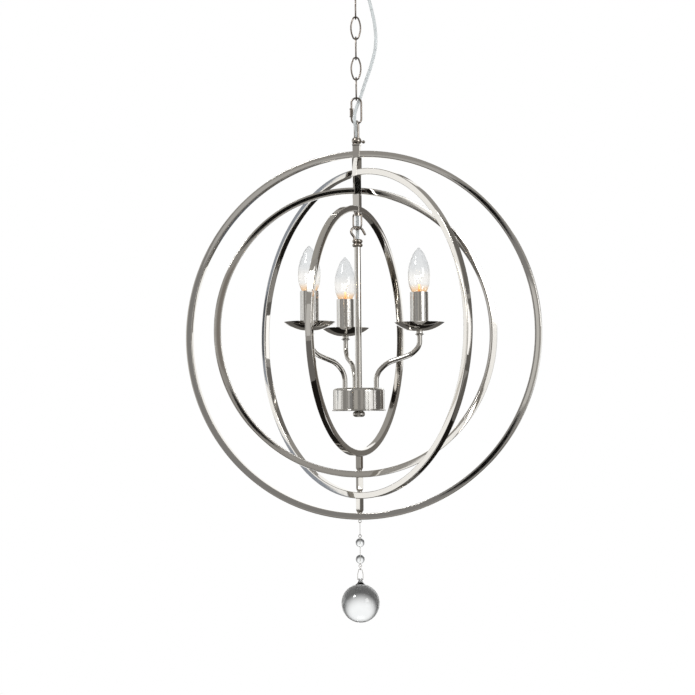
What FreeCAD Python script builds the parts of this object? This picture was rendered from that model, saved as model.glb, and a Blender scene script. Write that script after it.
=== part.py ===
"""Orb chandelier: four nested square-bar hoops turning on one hollow stem, a three-candle
cluster hooked inside them, and a glass ball drop below, all hung on a welded chain from
a ceiling canopy.

Units are millimetres. The origin is the centre of the canopy's rim, on the ceiling, with
+Z up, so the whole lamp hangs at negative Z. The view in the photograph looks along +Y.
Every level is worked out from the ceiling down, through the chain, to the glass ball.
"""
import FreeCAD, Part
import math
import os
from FreeCAD import Vector

os.makedirs("parts", exist_ok=True)

# --- clearances ---------------------------------------------------------------------------
HANG_GAP = 0.3          # between two wires that hang in each other
SMALL_GAP = 0.2         # the same, on the fine wires of the glass drop
RUNNING_GAP = 0.05      # radial clearance of a turning fit
SEAT_GAP = 0.3          # between curved faces of pieces that only stand near each other

# --- ceiling fitting ------------------------------------------------------------------------
CANOPY_RADIUS = 63.5
CANOPY_DEPTH = 25.0
CANOPY_WALL = 1.0
STRAP_LENGTH = 110.0
STRAP_WIDTH = 22.0
STRAP_THICKNESS = 2.0
SLOT_MARGIN = 3.0           # from a slot's outer end to the strap's end
SLOT_LENGTH = 24.0
SLOT_WIDTH = 5.0
NIPPLE_RADIUS = 4.75
NIPPLE_BORE_RADIUS = 3.2
NUT_ACROSS_FLATS = 14.0
NUT_THICKNESS = 4.0
NECK_RADIUS = 8.0
NECK_SOCKET_DEPTH = 9.0
COLLAR_RING_RADIUS = 13.0
COLLAR_RING_HEIGHT = 6.0
COLLAR_RING_DROP = 3.8      # bare neck between the ring and the loop's bead

# --- cast loops, one under the canopy, one over the hoops and one inside them ---------------
LOOP_BAR = 3.6
LOOP_WIDTH = 18.0
LOOP_REACH = 38.0           # from the bead's flat end to the top of the eye
BEAD_RADIUS = 7.8
BEAD_HEIGHT = 10.0
CORD_HOLE_RADIUS = 2.9
FIXTURE_LOOP_AZIMUTH = 68.0
THUMB_SCREW_RADIUS = 2.7

# --- chain ----------------------------------------------------------------------------------
LINK_COUNT = 6
LINK_WIRE = 2.6
LINK_LENGTH = 38.0
LINK_WIDTH = 17.8
QUICK_WIRE = 3.0
QUICK_LENGTH = 44.0
QUICK_WIDTH = 18.5
GATE_GAP = 9.0              # break in the quick link's leg, closed by the nut
NUT_LENGTH = 13.6
NUT_BODY_FLATS = 5.0
NUT_FLANGE_RADIUS = 3.2
NUT_FLANGE_HEIGHT = 1.4

# --- hoops ----------------------------------------------------------------------------------
HOOP_COUNT = 4
HOOP_RADIUS = 290.0
HOOP_STEP = 31.0            # each hoop's outer radius is this much less than the one outside it
HOOP_BAR = 10.0
HOOP_EDGE = 0.5             # small radius on the bar's edges
HOOP_AZIMUTHS = (16.0, 51.4, -13.4, -68.2)
TOP_PITCH = 29.1            # height of the tubes stacked under the first one
HUB_WIDTH = 11.0
HUB_PROUD = 0.4             # the tube's foot shows this much inside the hoop's bar
FIRST_HUB_HEIGHT = 19.0
COLLAR_PLATE = 3.0
COLLAR_PLATE_WIDTH = 12.6
STEM_RADIUS = 4.0
STEM_BORE_RADIUS = 3.1
ROD_RADIUS = 2.5
SPACER_WIDTH = 8.5
SPACER_TAPER = 4.0
SPACER_AZIMUTHS = (44.0, -24.0, 29.0)
STOP_RING_RADIUS = 4.0
STOP_RING_HEIGHT = 1.2
STOP_RING_LIFT = 0.05      # the ring touches the curved bar at two edges only

# --- candle cluster -------------------------------------------------------------------------
LOWER_LOOP_BAR = 2.8
LOWER_LOOP_WIDTH = 19.0
LOWER_LOOP_REACH = 26.4
LOWER_LOOP_AZIMUTH = 37.0
LOWER_SEAT_RADIUS = 5.4
LOWER_SEAT_HEIGHT = 1.6
HOOK_WIRE = 4.0
HOOK_AZIMUTH = -30.0
HOOK_DROP = 19.3            # from the hook's top line down to its root
HOOK_COLLAR_RADIUS = 8.3
HOOK_COLLAR_HEIGHT = 12.4
TUBE_RADIUS = 5.2
TUBE_WALL = 1.2
CAN_RADIUS = 40.6
CAN_HEIGHT = 36.0
CAN_EDGE = 5.0
CAN_LIP = 1.3
CAN_WALL = 1.2
COVER_THICKNESS = 1.5
FINIAL_RADIUS = 9.8
FINIAL_CLEARANCE = 51.5     # from the finial down to the innermost hoop
FINIAL_HEIGHT = 9.5
SPIGOT_RADIUS = 4.0
CANDLE_COUNT = 3
CANDLE_CIRCLE = 100.0
FIRST_CANDLE_AZIMUTH = 18.0
ARM_RADIUS = 4.0
ARM_WALL = 0.9
ARM_CIRCLE = 29.0           # where the arms leave the can
ARM_NUT_FLATS = 11.0
ARM_NUT_HEIGHT = 4.0
ARM_RISE = 80.0             # from the can's top to the arm's upper end
KNUCKLE_RADIUS = 6.7
KNUCKLE_HEIGHT = 6.5
PAN_RADIUS = 40.0
PAN_DEPTH = 13.5
PAN_WALL = 1.0
PAN_FLAT = 9.4              # radius of the pan's flat bottom
SEAT_RADIUS = 17.0
CUP_FOOT = 8.8              # radius of the candle cup's foot
CUP_BAND = 3.0
SEAT_RISE = 14.5            # the candle stands this far above the pan's bottom
SLEEVE_RADIUS = 14.3
SLEEVE_HEIGHT = 46.5
SLEEVE_WALL = 0.9
SOCKET_RADIUS = 9.5
SOCKET_HEIGHT = 42.0
SOCKET_FLOOR = 14.0
BASE_RADIUS = 6.0
BASE_LENGTH = 22.0
BULB_RADIUS = 17.1
BULB_HEIGHT = 69.5
BULB_WALL = 0.8

# --- glass drop -----------------------------------------------------------------------------
EYE_WIRE = 1.1
EYE_RADIUS = 2.7
FINE_WIRE = 1.0
DROP_LINK_LENGTH = 22.0
DROP_LINK_WIDTH = 5.6
PIN_EYE_RADIUS = 2.7
PIN_SHANK = 0.5             # bare wire between the pin's eye and a bead
BEAD_SPACING = 25.7
SMALL_BALL_RADIUS = 7.0
JUMP_RING_RADIUS = 3.2
BAIL_WIDTH = 9.4
BAIL_HEIGHT = 17.2
BAIL_CORNER = 0.7
BALL_RADIUS = 30.0
BALL_NECK_RADIUS = 3.0
BALL_NECK_FOOT = 11.0
BALL_NECK_HEIGHT = 10.6
BALL_HOLE_DEPTH = 2.0       # from the neck's top to the bail's hole

# --- cords ----------------------------------------------------------------------------------
CORD_WIDTH = 5.2

Z = Vector(0, 0, 1)
ORIGIN = Vector(0, 0, 0)


# --- helpers --------------------------------------------------------------------------------
def save(name, *solids):
    """Writes one node, a single solid or a group of separate ones, to its own file."""
    shape = solids[0] if len(solids) == 1 else Part.makeCompound(list(solids))
    for solid in solids:
        if len(solid.Solids) != 1 or not solid.isValid():
            raise ValueError(name + " isn't one clean solid")
    shape.exportStep("parts/" + name + ".step")


def cylinder(radius, low, high, x=0.0, y=0.0):
    """An upright cylinder from height low to height high."""
    return Part.makeCylinder(radius, high - low, Vector(x, y, low), Z)


def tube(outer, inner, low, high, x=0.0, y=0.0):
    return cylinder(outer, low, high, x, y).cut(cylinder(inner, low - 1, high + 1, x, y))


def block(width, depth, low, high, azimuth=0.0):
    """An upright square or oblong bar round the Z axis, turned to an azimuth."""
    solid = Part.makeBox(width, depth, high - low, Vector(-width / 2, -depth / 2, low))
    return turned(solid, azimuth)


def turned(solid, azimuth):
    """Turned about Z so that the solid's +X side points to the azimuth. A positive azimuth
    brings its right-hand side towards the viewer."""
    solid = solid.copy()
    solid.rotate(ORIGIN, Z, -azimuth)
    return solid


def moved(solid, x=0.0, y=0.0, z=0.0):
    solid = solid.copy()
    solid.translate(Vector(x, y, z))
    return solid


def round_bar(points, radius):
    """A round bar or cord along straight runs joined by tangent arcs."""
    path = rounded_wire(points)
    start = path.Edges[0]
    profile = Part.Wire(Part.makeCircle(radius, points[0], start.tangentAt(start.FirstParameter)))
    return path.makePipeShell([profile], True, False)


def corner_radius(before, corner, after):
    """The arc's radius at a corner: 0.45 of the shorter run over the tangent of half the turn."""
    shorter = min((corner - before).Length, (after - corner).Length)
    turn = (corner - before).getAngle(after - corner)
    return 0.45 * shorter / math.tan(turn / 2)


def rounded_wire(points):
    """Straight runs through the points, each corner replaced by its tangent arc."""
    edges = []
    start = points[0]
    for before, corner, after in zip(points, points[1:], points[2:]):
        back = (before - corner).normalize()
        on = (after - corner).normalize()
        reach = 0.45 * min((corner - before).Length, (after - corner).Length)
        inside = (back + on).normalize()
        radius = corner_radius(before, corner, after)
        centre = corner + inside * math.hypot(radius, reach)
        first = corner + back * reach
        middle = centre - inside * radius
        last = corner + on * reach
        edges.append(Part.LineSegment(start, first).toShape())
        edges.append(Part.Arc(first, middle, last).toShape())
        start = last
    edges.append(Part.LineSegment(start, points[-1]).toShape())
    return Part.Wire(edges)


def oval_link(wire, length, width):
    """A link standing upright in the XZ plane, its top at height 0: two half rings joined by
    two straight legs."""
    bend = (width - wire) / 2
    upper = -wire / 2 - bend
    lower = wire / 2 + bend - length
    ring = Part.makeTorus(bend, wire / 2, ORIGIN, Vector(0, 1, 0))
    half = Part.makeBox(2 * width, 2 * width, width, Vector(-width, -width, 0))
    top = moved(ring.common(half), z=upper)
    bottom = moved(ring.cut(half), z=lower)
    legs = [cylinder(wire / 2, lower, upper, x=side * bend) for side in (-1, 1)]
    return top.fuse([bottom] + legs).removeSplitter()


def hexagon(across_flats, low, high, x=0.0, y=0.0):
    """An upright hexagonal nut blank."""
    corner = across_flats / math.sqrt(3)
    points = [
        Vector(x + corner * math.cos(math.radians(60 * i)), y + corner * math.sin(math.radians(60 * i)), low)
        for i in range(6)
    ]
    outline = Part.makePolygon(points + [points[0]])
    return Part.Face(outline).extrude(Vector(0, 0, high - low))


def revolved(outline):
    """A turned piece from a closed outline of (radius, height) points. A third value in a
    point bulges the edge that ends there into an arc by that much."""
    edges = []
    count = len(outline)
    for i in range(count):
        first = outline[i - 1]
        last = outline[i]
        a = Vector(first[0], 0, first[1])
        b = Vector(last[0], 0, last[1])
        if len(last) == 3:
            along = b - a
            side = Vector(along.z, 0, -along.x).normalize()
            edges.append(Part.Arc(a, (a + b) * 0.5 + side * last[2], b).toShape())
        else:
            edges.append(Part.LineSegment(a, b).toShape())
    return Part.Face(Part.Wire(edges)).revolve(ORIGIN, Z, 360)


def bead(radius, height, low):
    """A turned barrel bead round the Z axis, flat at both ends."""
    end = radius * 0.72
    return revolved([(0, low), (end, low), (end, low + height, radius - end), (0, low + height)])


def cast_eye(bar, width, reach, foot):
    """An upright oval eye in the XZ plane. Its top is at height reach, its foot at height foot."""
    return moved(oval_link(bar, reach - foot, width), z=reach)


# --- levels, from the ceiling down ----------------------------------------------------------
canopy_bottom = -CANOPY_DEPTH
canopy_loop_base = canopy_bottom - COLLAR_RING_HEIGHT - COLLAR_RING_DROP
hang_level = canopy_loop_base - LOOP_REACH + LOOP_BAR    # upper side of the loop's lowest bar
link_pitch = LINK_LENGTH - 2 * LINK_WIRE - HANG_GAP
link_tops = [hang_level + HANG_GAP + LINK_WIRE - i * link_pitch for i in range(LINK_COUNT)]
quick_top = link_tops[-1] - LINK_LENGTH + LINK_WIRE + HANG_GAP + QUICK_WIRE
quick_bottom = quick_top - QUICK_LENGTH
fixture_loop_top = quick_bottom + QUICK_WIRE + HANG_GAP + LOOP_BAR
fixture_loop_base = fixture_loop_top - LOOP_REACH
first_hub_top = fixture_loop_base - COLLAR_PLATE
hub_bottoms = [first_hub_top - FIRST_HUB_HEIGHT - i * TOP_PITCH for i in range(HOOP_COUNT)]
hoop_radii = [HOOP_RADIUS - i * HOOP_STEP for i in range(HOOP_COUNT)]
hoop_centres = [hub_bottoms[i] + HUB_PROUD - hoop_radii[i] + HOOP_BAR for i in range(HOOP_COUNT)]
hoop_lows = [hoop_centres[i] - hoop_radii[i] for i in range(HOOP_COUNT)]
stem_bottom = hub_bottoms[-1] - LOWER_SEAT_HEIGHT
lower_hang = stem_bottom - LOWER_LOOP_REACH + LOWER_LOOP_BAR
hook_line = lower_hang + HANG_GAP + HOOK_WIRE / 2        # middle of the hook's wire at its top
hook_root = hook_line - HOOK_DROP
collar_bottom = hook_root - HOOK_COLLAR_HEIGHT
can_bottom = hoop_lows[-1] + HOOP_BAR + FINIAL_CLEARANCE + FINIAL_HEIGHT
can_top = can_bottom + CAN_HEIGHT
arm_top = can_top + ARM_RISE
knuckle_top = arm_top + KNUCKLE_HEIGHT
sleeve_base = knuckle_top + SEAT_RISE
sleeve_top = sleeve_base + SLEEVE_HEIGHT
hoop_floor = hoop_lows[0]


# --- ceiling fitting ------------------------------------------------------------------------
def mounting_strap():
    """Flat steel crossbar with a central hole and two slots for the ceiling box screws."""
    strap = block(STRAP_LENGTH, STRAP_WIDTH, -STRAP_THICKNESS, 0)
    corners = [edge for edge in strap.Edges if edge.Length < STRAP_THICKNESS + 0.1]
    strap = strap.makeFillet(STRAP_WIDTH / 2 - 0.5, corners)
    half_run = (SLOT_LENGTH - SLOT_WIDTH) / 2
    for side in (-1, 1):
        middle = side * (STRAP_LENGTH / 2 - SLOT_MARGIN - SLOT_LENGTH / 2)
        run = Part.makeBox(2 * half_run, SLOT_WIDTH, STRAP_THICKNESS + 2,
                           Vector(middle - half_run, -SLOT_WIDTH / 2, -STRAP_THICKNESS - 1))
        ends = [cylinder(SLOT_WIDTH / 2, -STRAP_THICKNESS - 1, 1, x=middle + end * half_run)
                for end in (-1, 1)]
        strap = strap.cut(run.fuse(ends))
    return strap.cut(cylinder(NIPPLE_RADIUS, -STRAP_THICKNESS - 1, 1))


def canopy():
    """Spun cover: a shallow dome with a rolled rim and a flat crown pierced for the loop's neck."""
    crown = CANOPY_RADIUS * 0.35
    skirt = CANOPY_DEPTH * 0.2
    low = canopy_bottom
    hollow = canopy_bottom + CANOPY_WALL
    reach = CANOPY_RADIUS - CANOPY_WALL
    outer = revolved([(0, low), (crown, low), (CANOPY_RADIUS, -skirt, 7.0), (CANOPY_RADIUS, 0), (0, 0)])
    inner = revolved([(0, hollow), (crown, hollow), (reach, -skirt, 7.0), (reach, 1), (0, 1)])
    hole = cylinder(NECK_RADIUS + SEAT_GAP, canopy_bottom - 1, 0)
    return outer.cut(inner).cut(hole)


def canopy_nipple():
    """Threaded hollow nipple from the strap down into the loop's neck."""
    return tube(NIPPLE_RADIUS, NIPPLE_BORE_RADIUS, canopy_bottom + 2 - NECK_SOCKET_DEPTH, 0)


def nipple_nuts():
    """Two hexagon nuts, one under the strap and one on the loop's neck."""
    neck_top = canopy_bottom + 2
    nuts = []
    for low in (-STRAP_THICKNESS - NUT_THICKNESS, neck_top):
        bore = cylinder(NIPPLE_RADIUS, low - 1, low + NUT_THICKNESS + 1)
        nuts.append(hexagon(NUT_ACROSS_FLATS, low, low + NUT_THICKNESS).cut(bore))
    return nuts


def canopy_loop():
    """Cast loop that hangs upside down under the canopy, its threaded neck going up through it."""
    eye = turned(cast_eye(LOOP_BAR, LOOP_WIDTH, LOOP_REACH, BEAD_HEIGHT / 2), 90)
    body = bead(BEAD_RADIUS, BEAD_HEIGHT, 0).fuse(eye)
    body.rotate(ORIGIN, Vector(1, 0, 0), 180)
    body = moved(body, z=canopy_loop_base)
    neck_top = canopy_bottom + 2
    neck = cylinder(NECK_RADIUS, canopy_loop_base - 1, neck_top)
    body = body.fuse(neck)
    body = body.cut(cylinder(NIPPLE_RADIUS, neck_top - NECK_SOCKET_DEPTH, neck_top + 1))
    bore = cylinder(CORD_HOLE_RADIUS, canopy_loop_base - BEAD_HEIGHT - 3, neck_top)
    return body.cut(bore).removeSplitter()


def canopy_ring():
    """Turned collar ring, screwed up the loop's neck to hold the canopy against the ceiling."""
    low = canopy_bottom - COLLAR_RING_HEIGHT
    side = COLLAR_RING_RADIUS - 1
    return revolved([(NECK_RADIUS, low), (side, low), (side, canopy_bottom, 1.0),
                     (NECK_RADIUS, canopy_bottom)])


# --- chain ----------------------------------------------------------------------------------
def chain_link(index):
    """Welded oval link. The first stands in the view's plane, and the next ones alternate."""
    link = moved(oval_link(LINK_WIRE, LINK_LENGTH, LINK_WIDTH), z=link_tops[index])
    return turned(link, 0 if index % 2 == 0 else 90)


def quick_leg():
    return (QUICK_WIDTH - QUICK_WIRE) / 2


nut_middle = quick_bottom + QUICK_LENGTH * 0.43


def quick_link():
    """Oval connecting link with a break in its left leg, where the nut closes it."""
    link = moved(oval_link(QUICK_WIRE, QUICK_LENGTH, QUICK_WIDTH), z=quick_top)
    gate = cylinder(QUICK_WIRE, nut_middle - GATE_GAP / 2, nut_middle + GATE_GAP / 2, x=-quick_leg())
    return link.cut(gate)


def quick_link_nut():
    """Sleeve nut with a flange at each end, running on the quick link's left leg."""
    x = -quick_leg()
    low = nut_middle - NUT_LENGTH / 2
    high = nut_middle + NUT_LENGTH / 2
    nut = hexagon(NUT_BODY_FLATS, low, high, x=x)
    nut = nut.fuse([cylinder(NUT_FLANGE_RADIUS, low, low + NUT_FLANGE_HEIGHT, x=x),
                    cylinder(NUT_FLANGE_RADIUS, high - NUT_FLANGE_HEIGHT, high, x=x)])
    return nut.cut(cylinder(QUICK_WIRE / 2 + RUNNING_GAP, low - 1, high + 1, x=x)).removeSplitter()


# The cord hangs in a slack bow on the right of the chain, dips behind the quick link, comes
# through it to the left and turns down through the fixture loop into its bore.
CHAIN_CORD_ROUTE = (
    (0.0, 0.0, -41.0),
    (0.1, 0.0, -49.5),
    (7.5, 1.5, -62.0),
    (15.5, 5.0, -82.0),
    (24.0, 8.0, -111.0),
    (31.0, 9.0, -144.0),
    (32.5, 9.0, -176.0),
    (25.0, 8.5, -207.0),
    (14.0, 8.0, -237.0),
    (6.2, 6.6, -261.0),
    (0.8, 2.4, -275.5),
    (-3.2, -3.8, -289.0),
    (-3.0, -5.4, -303.0),
    (0.0, -0.1, -318.0),
    (0.0, 0.0, -328.0),
)

# The same cord inside the hoops: out of the stem, behind the hook, and into its collar.
HOOK_CORD_ROUTE = (
    (0.0, 0.0, stem_bottom + 2.1),
    (0.0, 0.05, stem_bottom - 8.3),
    (0.1, 6.5, stem_bottom - 16.4),
    (0.1, 6.6, stem_bottom - 26.8),
    (0.0, 0.05, stem_bottom - 34.9),
    (0.0, 0.0, stem_bottom - 45.3),
)


def cord(route, name):
    """The cord's plain round solid, its radii printed and its volume set against its length."""
    points = [Vector(*p) for p in route]
    solid = round_bar(points, CORD_WIDTH / 2)
    radii = [corner_radius(*corner) for corner in zip(points, points[1:], points[2:])]
    length = rounded_wire(points).Length
    section = math.pi * (CORD_WIDTH / 2) ** 2
    print(name, "length", round(length, 1), "radii", [round(r, 1) for r in radii],
          "volume/section*length", round(solid.Volume / (section * length), 4))
    return solid


# --- stem, hoops and spacers ------------------------------------------------------------------
def fixture_loop():
    """Cast loop standing on the stem's top, with a turned bead for its foot."""
    eye = turned(cast_eye(LOOP_BAR, LOOP_WIDTH, LOOP_REACH, BEAD_HEIGHT / 2), FIXTURE_LOOP_AZIMUTH)
    body = moved(bead(BEAD_RADIUS, BEAD_HEIGHT, 0).fuse(eye), z=fixture_loop_base)
    body = body.cut(cylinder(STEM_RADIUS, fixture_loop_base - 1, fixture_loop_base + BEAD_HEIGHT / 2))
    body = body.cut(cylinder(CORD_HOLE_RADIUS, fixture_loop_base, fixture_loop_base + BEAD_HEIGHT + 3))
    start = Vector(STEM_RADIUS, 0, fixture_loop_base + 3.4)
    hole = Part.makeCylinder(1.0, BEAD_RADIUS + 2, start, Vector(1, 0, 0))
    return body.cut(hole).removeSplitter()


def thumb_screw():
    """Small ball-headed screw in the side of the loop's bead, which locks it on the stem."""
    level = fixture_loop_base + 3.4
    shank = Part.makeCylinder(1.0, BEAD_RADIUS - STEM_RADIUS, Vector(STEM_RADIUS, 0, level), Vector(1, 0, 0))
    head = Part.makeSphere(THUMB_SCREW_RADIUS, Vector(BEAD_RADIUS + THUMB_SCREW_RADIUS + SEAT_GAP, 0, level))
    start = Vector(BEAD_RADIUS, 0, level)
    neck = Part.makeCylinder(1.0, THUMB_SCREW_RADIUS + SEAT_GAP, start, Vector(1, 0, 0))
    return head.fuse([shank, neck]).removeSplitter()


def stem():
    """Hollow stem that carries the hoops: they turn on it, and the cord runs down inside it."""
    return tube(STEM_RADIUS, STEM_BORE_RADIUS, stem_bottom, fixture_loop_base + BEAD_HEIGHT / 2)


def collar_plate():
    """Square plate between the loop's bead and the first hoop's tube."""
    plate = block(COLLAR_PLATE_WIDTH, COLLAR_PLATE_WIDTH, first_hub_top, fixture_loop_base, HOOP_AZIMUTHS[0])
    bore = cylinder(STEM_RADIUS, first_hub_top - 1, fixture_loop_base + 1)
    return plate.makeFillet(1.0, plate.Edges).cut(bore)


def lower_loop():
    """Wire loop under the stem. Its round seat is screwed on the stem and carries the hoops."""
    eye = cast_eye(LOWER_LOOP_BAR, LOWER_LOOP_WIDTH, LOWER_LOOP_REACH, 0.0)
    eye = turned(eye, -LOWER_LOOP_AZIMUTH)
    eye.rotate(ORIGIN, Vector(1, 0, 0), 180)
    eye = moved(eye, z=stem_bottom)
    seat = cylinder(LOWER_SEAT_RADIUS, stem_bottom - 3.4, stem_bottom + LOWER_SEAT_HEIGHT)
    body = seat.fuse(eye)
    body = body.cut(cylinder(STEM_RADIUS, stem_bottom, stem_bottom + LOWER_SEAT_HEIGHT + 1))
    return body.cut(cylinder(CORD_HOLE_RADIUS, stem_bottom - 6, stem_bottom + 1)).removeSplitter()


def hoop(index):
    """Square-bar hoop, welded at its top to its square tube and drilled through at its bottom."""
    radius = hoop_radii[index]
    centre = hoop_centres[index]
    start = Vector(0, -HOOP_BAR / 2, centre)
    ring = Part.makeCylinder(radius, HOOP_BAR, start, Vector(0, 1, 0))
    ring = ring.cut(Part.makeCylinder(radius - HOOP_BAR, HOOP_BAR, start, Vector(0, 1, 0)))
    ring = ring.makeFillet(HOOP_EDGE, [e for e in ring.Edges if e.Length > radius])
    height = FIRST_HUB_HEIGHT if index == 0 else TOP_PITCH
    low = hub_bottoms[index]
    hub = block(HUB_WIDTH, HUB_WIDTH, low, low + height)
    hub = hub.makeChamfer(0.3, hub.Edges)
    body = ring.fuse(hub)
    body = body.cut(cylinder(STEM_RADIUS + RUNNING_GAP, low - HOOP_BAR, low + height + 1))
    rod_gap = 0.0 if index == 0 else RUNNING_GAP
    body = body.cut(cylinder(ROD_RADIUS + rod_gap, hoop_lows[index] - 1, hoop_lows[index] + HOOP_BAR + 1))
    return turned(body.removeSplitter(), HOOP_AZIMUTHS[index])


def bottom_rod():
    """Rod through the bottoms of all four hoops, which keeps them on the stem's axis."""
    return cylinder(ROD_RADIUS, hoop_floor + 4.0, hoop_lows[-1] + HOOP_BAR)


def spacer(index):
    """Square tube on the rod between two hoops, its lower end tapered to a stop ring."""
    low = hoop_lows[index] + HOOP_BAR + STOP_RING_LIFT + STOP_RING_HEIGHT
    high = hoop_lows[index + 1]
    shank = block(SPACER_WIDTH, SPACER_WIDTH, low, high)
    taper = Part.makeCone(SPACER_WIDTH * 0.48, SPACER_WIDTH, SPACER_TAPER * 2, Vector(0, 0, low), Z)
    upper = block(2 * SPACER_WIDTH, 2 * SPACER_WIDTH, low + SPACER_TAPER * 2, high + 1)
    shank = shank.common(taper.fuse(upper)).cut(cylinder(ROD_RADIUS, low - 1, high + 1))
    return turned(shank.removeSplitter(), SPACER_AZIMUTHS[index])


def stop_ring(index):
    low = hoop_lows[index] + HOOP_BAR + STOP_RING_LIFT
    return tube(STOP_RING_RADIUS, ROD_RADIUS, low, low + STOP_RING_HEIGHT)


# --- glass drop -----------------------------------------------------------------------------
eye_middle = hoop_floor - EYE_RADIUS
drop_link_top = eye_middle - EYE_RADIUS + EYE_WIRE + SMALL_GAP + FINE_WIRE
pin_top = drop_link_top - DROP_LINK_LENGTH + FINE_WIRE + SMALL_GAP + FINE_WIRE
bead_middles = [pin_top - 2 * PIN_EYE_RADIUS - PIN_SHANK - SMALL_BALL_RADIUS]
bead_middles.append(bead_middles[0] - BEAD_SPACING)
pin_bottom = bead_middles[1] - SMALL_BALL_RADIUS - PIN_SHANK - 2 * PIN_EYE_RADIUS
ring_top = pin_bottom + FINE_WIRE + SMALL_GAP + FINE_WIRE
bail_top = ring_top - 2 * JUMP_RING_RADIUS + FINE_WIRE + SMALL_GAP + FINE_WIRE
ball_hole = bail_top - BAIL_HEIGHT + FINE_WIRE / 2
ball_neck_top = ball_hole + BALL_HOLE_DEPTH
ball_middle = ball_neck_top - BALL_NECK_HEIGHT - math.sqrt(BALL_RADIUS ** 2 - BALL_NECK_FOOT ** 2)


def wire_ring(wire, radius, middle, azimuth):
    """A closed upright ring of wire round a point of the axis."""
    ring = Part.makeTorus(radius - wire / 2, wire / 2, Vector(0, 0, middle), Vector(0, 1, 0))
    return turned(ring, azimuth)


def eye_screw():
    """Screw eye in the underside of the outer hoop."""
    shank = cylinder(EYE_WIRE, hoop_floor - EYE_WIRE / 2, hoop_floor + 4.0)
    flange = cylinder(ROD_RADIUS, hoop_floor, hoop_floor + 4.0)
    return wire_ring(EYE_WIRE, EYE_RADIUS, eye_middle, 0).fuse([shank, flange]).removeSplitter()


def drop_link():
    link = moved(oval_link(FINE_WIRE, DROP_LINK_LENGTH, DROP_LINK_WIDTH), z=drop_link_top)
    return turned(link, 90)


def bead_pin():
    """One straight wire through both glass beads, turned into an eye at each end."""
    upper = wire_ring(FINE_WIRE, PIN_EYE_RADIUS, pin_top - PIN_EYE_RADIUS, 0)
    lower = wire_ring(FINE_WIRE, PIN_EYE_RADIUS, pin_bottom + PIN_EYE_RADIUS, 0)
    inset = 2 * PIN_EYE_RADIUS - FINE_WIRE / 2
    shank = cylinder(FINE_WIRE / 2, pin_bottom + inset, pin_top - inset)
    return shank.fuse([upper, lower]).removeSplitter()


def glass_bead(middle):
    ball = Part.makeSphere(SMALL_BALL_RADIUS, Vector(0, 0, middle))
    return ball.cut(cylinder(FINE_WIRE / 2, middle - SMALL_BALL_RADIUS - 1, middle + SMALL_BALL_RADIUS + 1))


def jump_ring():
    """Small closed ring between the pin and the bail."""
    return wire_ring(FINE_WIRE, JUMP_RING_RADIUS, ring_top - JUMP_RING_RADIUS, 90)


def bail():
    """Stirrup of wire: a narrow top that hangs in the pin's eye, and a foot through the neck."""
    half = (BAIL_WIDTH - FINE_WIRE) / 2
    low = ball_hole
    high = bail_top - FINE_WIRE / 2
    side = [Vector(0, 0, high), Vector(2.2, 0, high), Vector(half, 0, high - 7.5),
            Vector(half, 0, low + BAIL_CORNER), Vector(half - BAIL_CORNER, 0, low), Vector(0, 0, low)]
    right = round_bar(side, FINE_WIRE / 2)
    left = right.mirror(ORIGIN, Vector(1, 0, 0))
    return right.fuse(left).removeSplitter()


def glass_ball():
    """Solid ball with a short flared neck, cross-drilled for the bail."""
    foot = ball_neck_top - BALL_NECK_HEIGHT
    waist = ball_hole - 1.6
    sweep = math.sqrt((BALL_NECK_FOOT - BALL_NECK_RADIUS) ** 2 + (waist - foot) ** 2)
    neck = revolved([(0, foot - 2), (BALL_NECK_FOOT, foot - 2), (BALL_NECK_FOOT, foot),
                     (BALL_NECK_RADIUS, waist, -sweep * 0.14), (BALL_NECK_RADIUS, ball_neck_top),
                     (0, ball_neck_top)])
    ball = Part.makeSphere(BALL_RADIUS, Vector(0, 0, ball_middle))
    hole = Part.makeCylinder(FINE_WIRE / 2 + RUNNING_GAP, 4 * BALL_NECK_RADIUS,
                             Vector(-2 * BALL_NECK_RADIUS, 0, ball_hole), Vector(1, 0, 0))
    return ball.fuse(neck).cut(hole).removeSplitter()


# --- candle cluster -------------------------------------------------------------------------
def hook():
    """Open hook and its turned double-bead collar, bored for the cord beside the hook's root."""
    line = hook_line
    root = hook_root
    outline = ((-5.4, root - 2.0), (-5.6, root + 3.0), (-13.0, line - 7.8), (-7.0, line),
               (7.0, line), (13.6, line - 10.3))
    wire = round_bar([Vector(s, 0, level) for s, level in outline], HOOK_WIRE / 2)
    tip = Part.makeSphere(HOOK_WIRE / 2, Vector(outline[-1][0], 0, outline[-1][1]))
    half = HOOK_COLLAR_HEIGHT / 2
    collar = bead(HOOK_COLLAR_RADIUS, half, root - half).fuse(bead(HOOK_COLLAR_RADIUS, half, collar_bottom))
    body = collar.fuse([turned(wire, HOOK_AZIMUTH), turned(tip, HOOK_AZIMUTH)])
    return body.cut(cylinder(CORD_HOLE_RADIUS, collar_bottom - 1, root + 1)).removeSplitter()


def centre_tube():
    """Tube from the hook's collar down to the can, with a threaded spigot on through it."""
    body = tube(TUBE_RADIUS, TUBE_RADIUS - TUBE_WALL, can_top, collar_bottom)
    spigot = tube(SPIGOT_RADIUS, SPIGOT_RADIUS - TUBE_WALL, can_bottom - 4.0, can_top + 2.0)
    return body.fuse(spigot).removeSplitter()


def candle_places():
    """The azimuth of each candle, and the place of its axis."""
    for i in range(CANDLE_COUNT):
        azimuth = FIRST_CANDLE_AZIMUTH + 360.0 * i / CANDLE_COUNT
        angle = math.radians(azimuth)
        yield i, azimuth, Vector(math.cos(angle), -math.sin(angle), 0)


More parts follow.
